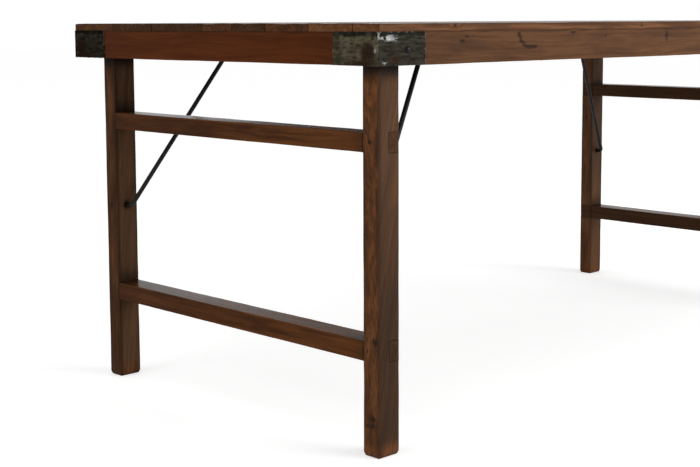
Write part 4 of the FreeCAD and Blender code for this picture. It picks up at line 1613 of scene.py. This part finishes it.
@dataclass
class CornerPlate:
    """A sheet iron angle, hammered round the rails' corner."""

    corner: Corner
    seed: int
    thickness: float = 1.8
    bend: float = 3.2
    bend_steps: int = 6
    step: float = 2.2
    dent: float = 0.5
    bow: float = 0.3
    ragged: float = 0.9
    nail_inset: float = 13.0
    nail_height: float = 10.0
    patina_end: float = 0.5
    patina_long: float = 0.25

    # The sheet's inner face stays this far off the rails
    CLEARANCE: ClassVar[float] = 0.05
    # A point this near to a rim lies on it
    ON_RIM: ClassVar[float] = 0.01

    def __post_init__(self) -> None:
        """Read the plate's place from its solid."""
        self.node = f"{self.corner.label}_corner_plate"
        self.low, self.high = box_mm(self.node)

    def outline(self) -> tuple[np.ndarray, np.ndarray, np.ndarray]:
        """Outer line of the plate, seen from above, drawn for the front left corner.

        Returns:
            Points of the line, outward directions, and lengths from the bend: below 0 on the end side.
        """
        long_side, end_side = (self.high - self.low)[:2]
        x, y = -np.maximum(np.abs(self.low), np.abs(self.high))[:2]
        points, outward, length = [], [], []
        for along in np.linspace(end_side, self.bend, round(end_side / self.step)):
            points.append((x, y + along))
            outward.append((-1.0, 0.0))
            length.append(-along)
        for angle in np.radians(np.linspace(180, 270, self.bend_steps + 1)[1:-1]):
            cosine, sine = math.cos(angle), math.sin(angle)
            points.append((x + self.bend + self.bend * cosine, y + self.bend + self.bend * sine))
            outward.append((cosine, sine))
            length.append(self.bend * (angle - math.radians(225)))
        for along in np.linspace(self.bend, long_side, round(long_side / self.step)):
            points.append((x + along, y))
            outward.append((0.0, -1.0))
            length.append(along)
        return np.array(points), np.array(outward), np.array(length)

    @staticmethod
    def sheet_faces(rows: int, columns: int) -> list[tuple[int, ...]]:
        """Faces of a closed sheet: its outer side, its inner side and its rim.

        Args:
            rows: Rows of points on each side.
            columns: Points in a row.

        Returns:
            Point numbers of each face.
        """
        count = rows * columns
        faces = []
        for row in range(rows - 1):
            for column in range(columns - 1):
                a = row * columns + column
                faces.append((a, a + 1, a + columns + 1, a + columns))
                faces.append((count + a, count + a + columns, count + a + columns + 1, count + a + 1))
        border = [*range(columns), *range(2 * columns - 1, count, columns),
                  *range(count - 2, count - columns - 1, -1), *range(count - 2 * columns, 0, -columns)]
        for here, after in zip(border, border[1:] + border[:1]):
            faces.append((after, here, count + here, count + after))
        return faces

    def build(self) -> bpy.types.Object:
        """Make the plate as a closed sheet with dents and a ragged rim.

        Returns:
            The plate.
        """
        bottom, top = self.low[2], self.high[2]
        line, outward, length = self.outline()
        heights = np.linspace(bottom, top, round((top - bottom) / self.step))
        rows, columns = len(heights), len(line)
        along = np.tile(length, rows)
        z = np.repeat(heights, columns)
        flat = np.stack([along, z, np.zeros_like(z)], 1)
        base = np.tile(line, (rows, 1))
        normal = np.tile(outward, (rows, 1))
        dent = self.dent * lumps(flat, 11.0, self.seed) + self.bow * lumps(flat, 30.0, self.seed + 0.3)
        inset = self.ragged * lumps(flat, 9.0, self.seed + 0.6)
        shifted_z = np.where(z - bottom < 0.1, z + inset, z)
        outer = np.column_stack([base - normal * dent[:, None], shifted_z])
        inner = np.column_stack([base - normal * (self.thickness - self.CLEARANCE), shifted_z])
        end_rim = along <= length[0] + self.ON_RIM
        long_rim = along >= length[-1] - self.ON_RIM
        for sheet in (outer, inner):
            sheet[end_rim, 1] -= inset[end_rim]
            sheet[long_rim, 0] -= inset[long_rim]
        points = np.concatenate([outer, inner])
        faces = self.sheet_faces(rows, columns)
        points[:, 0] *= -self.corner.end_sign
        points[:, 1] *= -self.corner.side_sign
        if self.corner.end_sign * self.corner.side_sign < 0:
            faces = [face[::-1] for face in faces]
        return make_piece(f"{self.node}.hammered", points, faces,
                          {layer: np.tile(values, 2) for layer, values in self.patches(flat).items()})

    @staticmethod
    def oval(flat: np.ndarray, along: float, height: float, half_length: float,
             half_height: float) -> np.ndarray:
        """Distance from the middle of an oval patch, where 1 is its rim."""
        return np.hypot((flat[:, 0] - along) / half_length, (flat[:, 1] - height) / half_height)

    def patches(self, flat: np.ndarray) -> dict[Layer, np.ndarray]:
        """Worn, rusty and dirty places of the plate, and bare metal with painted highlights, as they lie on
        the near one in the photo.

        Args:
            flat: Places on the unrolled plate, length from the bend and height.

        Returns:
            One value per place for each layer.
        """
        along, z = flat[:, 0], flat[:, 1]
        start, end = along.min(), along.max()
        bottom, top = self.low[2], self.high[2]
        broken = ramp(lumps(flat, (6.0, 3.4, 1.0), self.seed + 0.9), 0.22, 0.5)
        high_up = 0.15 + 0.85 * ramp(z, top - 24.0, top - 12.0)
        to_rim = np.minimum(np.minimum(along - start, end - along), np.where(along > 0, top - z, FAR))
        worn = strongest(
            broken * high_up * bell(along, 2.4),
            0.3 * bell(z - bottom, 1.2),
            0.42 * broken * bell(to_rim, 1.6),
            0.46 * broken * bell(self.oval(flat, -8.5, bottom + 25.0, 5.4, 9.0), 1.0),
        )
        grime = [0.9 * ramp(z, top - 11.0, top - 4.0)]
        for nail in (self.nail_inset, end - self.nail_inset, -self.nail_inset, start + self.nail_inset):
            for height in (bottom + self.nail_height, top - self.nail_height):
                grime.append(0.35 * bell(np.hypot(along - nail, z - height), 3.4))
        # Painted highlights: bare metal in an oval high on the long side and a weaker one low down
        bright = strongest(
            1.0 - 0.6 * self.oval(flat, 22.0, top - 10.0, 20.0, 5.0),
            0.5 - 0.4 * self.oval(flat, 14.0, bottom + 5.0, 9.0, 4.0),
        )
        rust = strongest(
            1.5 - 0.8 * self.oval(flat, -26.0, bottom + 21.0, 15.0, 15.0),
            1.2 - 0.6 * self.oval(flat, -42.0, bottom + 3.0, 34.0, 8.0),
            1.1 - 0.7 * self.oval(flat, 38.0, bottom + 10.0, 15.0, 8.0),
        )
        patina = np.where(along < 0, self.patina_end, self.patina_long)
        patina *= 0.55 + 0.45 * ramp(along - start, 3.0, 24.0)
        patina *= 0.62 + 0.76 * lumps(flat, (34.0, 22.0, 1.0), self.seed + 1.3)
        shares = {Layer.GRIME: strongest(*grime), Layer.BRIGHT: bright, Layer.RUST: rust}
        clipped = {layer: np.clip(values, 0, 1) for layer, values in shares.items()}
        return {Layer.WORN: worn, Layer.PATINA: patina, **clipped}

    def put_in_place(self, plate_iron: IronFinish) -> None:
        """Build, dress and place the plate."""
        install(self.build(), self.node, plate_iron.material(self.node, self.seed))


@dataclass
class RoundIron:
    """Bolts, nuts, washers, nails, eyes and rods, whose solids stay."""

    def put_in_place(self, bolt_iron: IronFinish, rod_iron: IronFinish, plate_nail_iron: IronFinish) -> None:
        """Dress the round ironwork.

        Args:
            bolt_iron: Finish of bolts, nuts, washers and spacers.
            rod_iron: Finish of rods and eyes.
            plate_nail_iron: Finish of the nails in the corner plates.
        """
        bolts = bolt_iron.material("bolts", 3)
        rods = rod_iron.material("rods", 4)
        dress_solid("corner_plate_nails", plate_nail_iron.material("corner_plate_nails", 6))
        for node in ("pivot_spacers", "pivot_washers", "pivot_nuts"):
            dress_solid(node, bolts)
        for corner in Corner:
            dress_solid(f"{corner.label}_pivot_bolt", bolts)
            for piece in ("brace_rod", "rod_washer", "eye_bolt"):
                dress_solid(f"{corner.label}_{piece}", rods)


@dataclass
class Studio:
    """A white floor, soft light from the right and a camera past the table's near corner, in metres."""

    image_width: float = 700.0
    image_height: float = 467.0
    focal_px: float = 1359.195
    optical_row: float = 165.947
    camera_place: Triple = (-2.5081, -2.0497, 0.7675)
    camera_ahead: Triple = (0.68808, 0.71771, -0.10696)
    camera_roll_deg: float = -0.247
    sensor: float = 36.0
    floor_half: float = 30.0
    floor_lift: float = 0.5
    ambient: float = 0.62
    key_power: float = 150.0
    fill_power: float = 30.0

    def build_floor(self) -> None:
        """Lay a white floor that keeps a soft shadow of the table."""
        mesh = bpy.data.meshes.new("studio_floor")
        half = self.floor_half
        corners = [(-half, -half, 0), (half, -half, 0), (half, half, 0), (-half, half, 0)]
        mesh.from_pydata(corners, [], [(0, 1, 2, 3)])
        floor = bpy.data.objects.new("studio_floor", mesh)
        bpy.context.scene.collection.objects.link(floor)
        # A matt white board that the camera sees as paper white, dimmed only where the table shades it
        material, tree, shader = new_material("matt_white_painted_board")
        shader.inputs["Base Color"].default_value = linear("#e6e6e6")
        shader.inputs["Roughness"].default_value = 0.9
        shader.inputs["Specular IOR Level"].default_value = 0.0
        lift = add_node(tree, "ShaderNodeMath", {"operation": "MULTIPLY", 1: self.floor_lift},
                        {0: seen_share(tree)})
        shader.inputs["Emission Color"].default_value = linear("#ffffff")
        tree.links.new(lift.outputs[0], shader.inputs["Emission Strength"])
        mesh.materials.append(material)

    def build_light(self) -> None:
        """Set the white surround, a large soft key on the right and a weak fill on the left."""
        world = bpy.data.worlds.new("white_surround")
        world.use_nodes = True
        bpy.context.scene.world = world
        tree = world.node_tree
        strength = add_node(tree, "ShaderNodeMapRange", {"To Min": self.ambient, "To Max": 1.0},
                            {"Value": seen_share(tree)})
        background = tree.nodes["Background"]
        background.inputs["Color"].default_value = linear("#ffffff")
        tree.links.new(strength.outputs[0], background.inputs["Strength"])
        for name, place, aim, size, power in (
                ("key_softbox", (1.6, -4.2, 2.2), (-0.3, -0.3, 0.5), (3.4, 2.6), self.key_power),
                ("fill_softbox", (-4.6, 0.6, 2.4), (-0.6, 0.0, 0.5), (2.4, 2.4), self.fill_power)):
            lamp = bpy.data.lights.new(name, "AREA")
            lamp.shape = "RECTANGLE"
            lamp.size, lamp.size_y = size
            lamp.energy = power
            softbox = bpy.data.objects.new(name, lamp)
            softbox.location = place
            softbox.rotation_euler = (Vector(aim) - Vector(place)).to_track_quat("-Z", "Y").to_euler()
            bpy.context.scene.collection.objects.link(softbox)

    def build_camera(self) -> None:
        """Set the camera at the photo's own place, lens and frame."""
        ahead = Vector(self.camera_ahead).normalized()
        level = ahead.cross(Vector((0, 0, 1))).normalized()
        upright = level.cross(ahead)
        roll = math.radians(self.camera_roll_deg)
        right = level * math.cos(roll) + upright * math.sin(roll)
        up = upright * math.cos(roll) - level * math.sin(roll)
        lens = bpy.data.cameras.new("photo_camera")
        lens.sensor_fit = "HORIZONTAL"
        lens.sensor_width = self.sensor
        lens.lens = self.focal_px / self.image_width * self.sensor
        lens.shift_y = (self.optical_row - self.image_height / 2) / self.image_width
        camera = bpy.data.objects.new("photo_camera", lens)
        axes = Matrix((right, up, -ahead)).transposed().to_4x4()
        camera.matrix_world = Matrix.Translation(Vector(self.camera_place)) @ axes
        bpy.context.scene.collection.objects.link(camera)
        bpy.context.scene.camera = camera

    def put_in_place(self) -> None:
        """Build the studio and set the plain view transform."""
        self.build_floor()
        self.build_light()
        self.build_camera()
        bpy.context.scene.view_settings.view_transform = "Standard"


# Old teak, hand planed and waxed, in the tones the pieces have taken: a wax sheen over streaky brown wood
WOOD = {
    Tone.WARM: WoodFinish(
        "old_teak_planed_waxed_orange", "#4d301c", "#5f3c24", "#724c32", "#482e1d", "#8a5730",
        ring_width=9.0, ring_share=0.24, bare_share=0.3),
    Tone.BROWN: WoodFinish(
        "old_teak_planed_waxed_brown", "#3d2312", "#4e2e18", "#5f3c22", "#372011", "#613c20",
        ring_width=8.0, ring_share=0.24, bare_share=0.25, shine=0.03),
    Tone.DARK: WoodFinish(
        "old_teak_planed_waxed_dark", "#321e11", "#412715", "#4f341f", "#2e1c10", "#53351d",
        ring_width=7.0, ring_share=0.24, bare_share=0.25, shine=0.03),
    Tone.LONG_RAIL: WoodFinish(
        "old_teak_planed_waxed_tan", "#4b2f1c", "#573923", "#63432b", "#452d1e", "#69442a",
        ring_width=8.0, stain_share=0.45),
    Tone.END_RAIL: WoodFinish(
        "old_teak_planed_waxed_red", "#49220d", "#502711", "#592d14", "#44200d", "#5e3016",
        ring_width=9.0, stain_share=0.2, shine=0.02),
    Tone.LEG: WoodFinish(
        "old_teak_sawn_waxed_leg", "#432712", "#59351b", "#714726", "#3d2414", "#85502a",
        bare_share=0.6, shine=0.06),
    Tone.FAR_LEG: WoodFinish(
        "old_teak_sawn_waxed_dark_leg", "#372211", "#482c17", "#593a22", "#321f11", "#694325",
        bare_share=0.3, shine=0.025),
    Tone.STRETCHER: WoodFinish(
        "old_teak_sawn_waxed_bar", "#3c210f", "#4b2a13", "#5b361b", "#371f10", "#7a4a26", shine=0.03),
    Tone.PEG: WoodFinish(
        "split_teak_peg", "#2c1a0e", "#432a17", "#5b3c22", "#291a0f", "#5b3c22", ring_width=2.0),
}
# Sheet iron, hammered cold round the corner: a soft, patchy olive patina over black scale
PLATE_IRON = IronFinish(
    "hammered_sheet_iron_patina", "#171714", "#635b48", "#261a13", "#9fa2a2", thin_scale="#42413b",
    mottle=12.0, metallic=0.97, rim_tint="#8c8a7a", patina_layer=True)
# Forged iron fixings: smooth black scale that shows small, crisp highlights
BOLT_IRON = IronFinish(
    "forged_iron_black_scale", "#0c0c0c", "#181715", "#17110d", "#5c5b57", thin_scale="#1a1918",
    mottle=6.0, grit=1.4, metallic=0.5, roughness=(0.16, 0.28), rim_tint="#b8b8b8")
# Round-headed forged nails, gone the colour of the plates they hold
PLATE_NAIL_IRON = IronFinish(
    "forged_iron_nail_patina", "#1b1a16", "#3a3528", "#231911", "#6b675c",
    mottle=5.0, grit=1.4, metallic=0.9, rim_tint="#8c8a7a")
# Square cut nails, rusted brown and rubbed grey on top
NAIL_IRON = IronFinish(
    "cut_iron_nail_rusted", "#211c18", "#37302a", "#402a1c", "#77726a", mottle=4.0, grit=1.2)
# Drawn rod, bent hot and blackened in oil: dull black with a wide, weak sheen
ROD_IRON = IronFinish(
    "oil_blackened_iron_rod", "#0b0b0a", "#151412", "#1c140e", "#2c2b28", thin_scale="#141312",
    mottle=22.0, grit=2.0, metallic=0.6, roughness=(0.5, 0.7), rust_share=0.3)
# Share of patina on the end side and the long side of each plate: the near one has kept most on its end
PLATE_PATINA = {
    Corner.FRONT_LEFT: (0.9, 0.06),
    Corner.FRONT_RIGHT: (0.5, 0.3),
    Corner.REAR_LEFT: (0.12, 0.35),
    Corner.REAR_RIGHT: (0.4, 0.2),
}


def main() -> None:
    """Build the table's looks in order."""
    logging.basicConfig(level=logging.INFO, format="%(name)s: %(message)s")
    PlankTop().put_in_place(WOOD, NAIL_IRON)
    RailFrame().put_in_place(WOOD)
    for number, end in enumerate(End):
        LegFrame(end, 50 + 10 * number).put_in_place(WOOD)
    for number, (corner, (end_side, long_side)) in enumerate(PLATE_PATINA.items()):
        CornerPlate(corner, 80 + number, patina_end=end_side, patina_long=long_side).put_in_place(PLATE_IRON)
    RoundIron().put_in_place(BOLT_IRON, ROD_IRON, PLATE_NAIL_IRON)
    Studio().put_in_place()


if __name__ == "__main__":
    main()
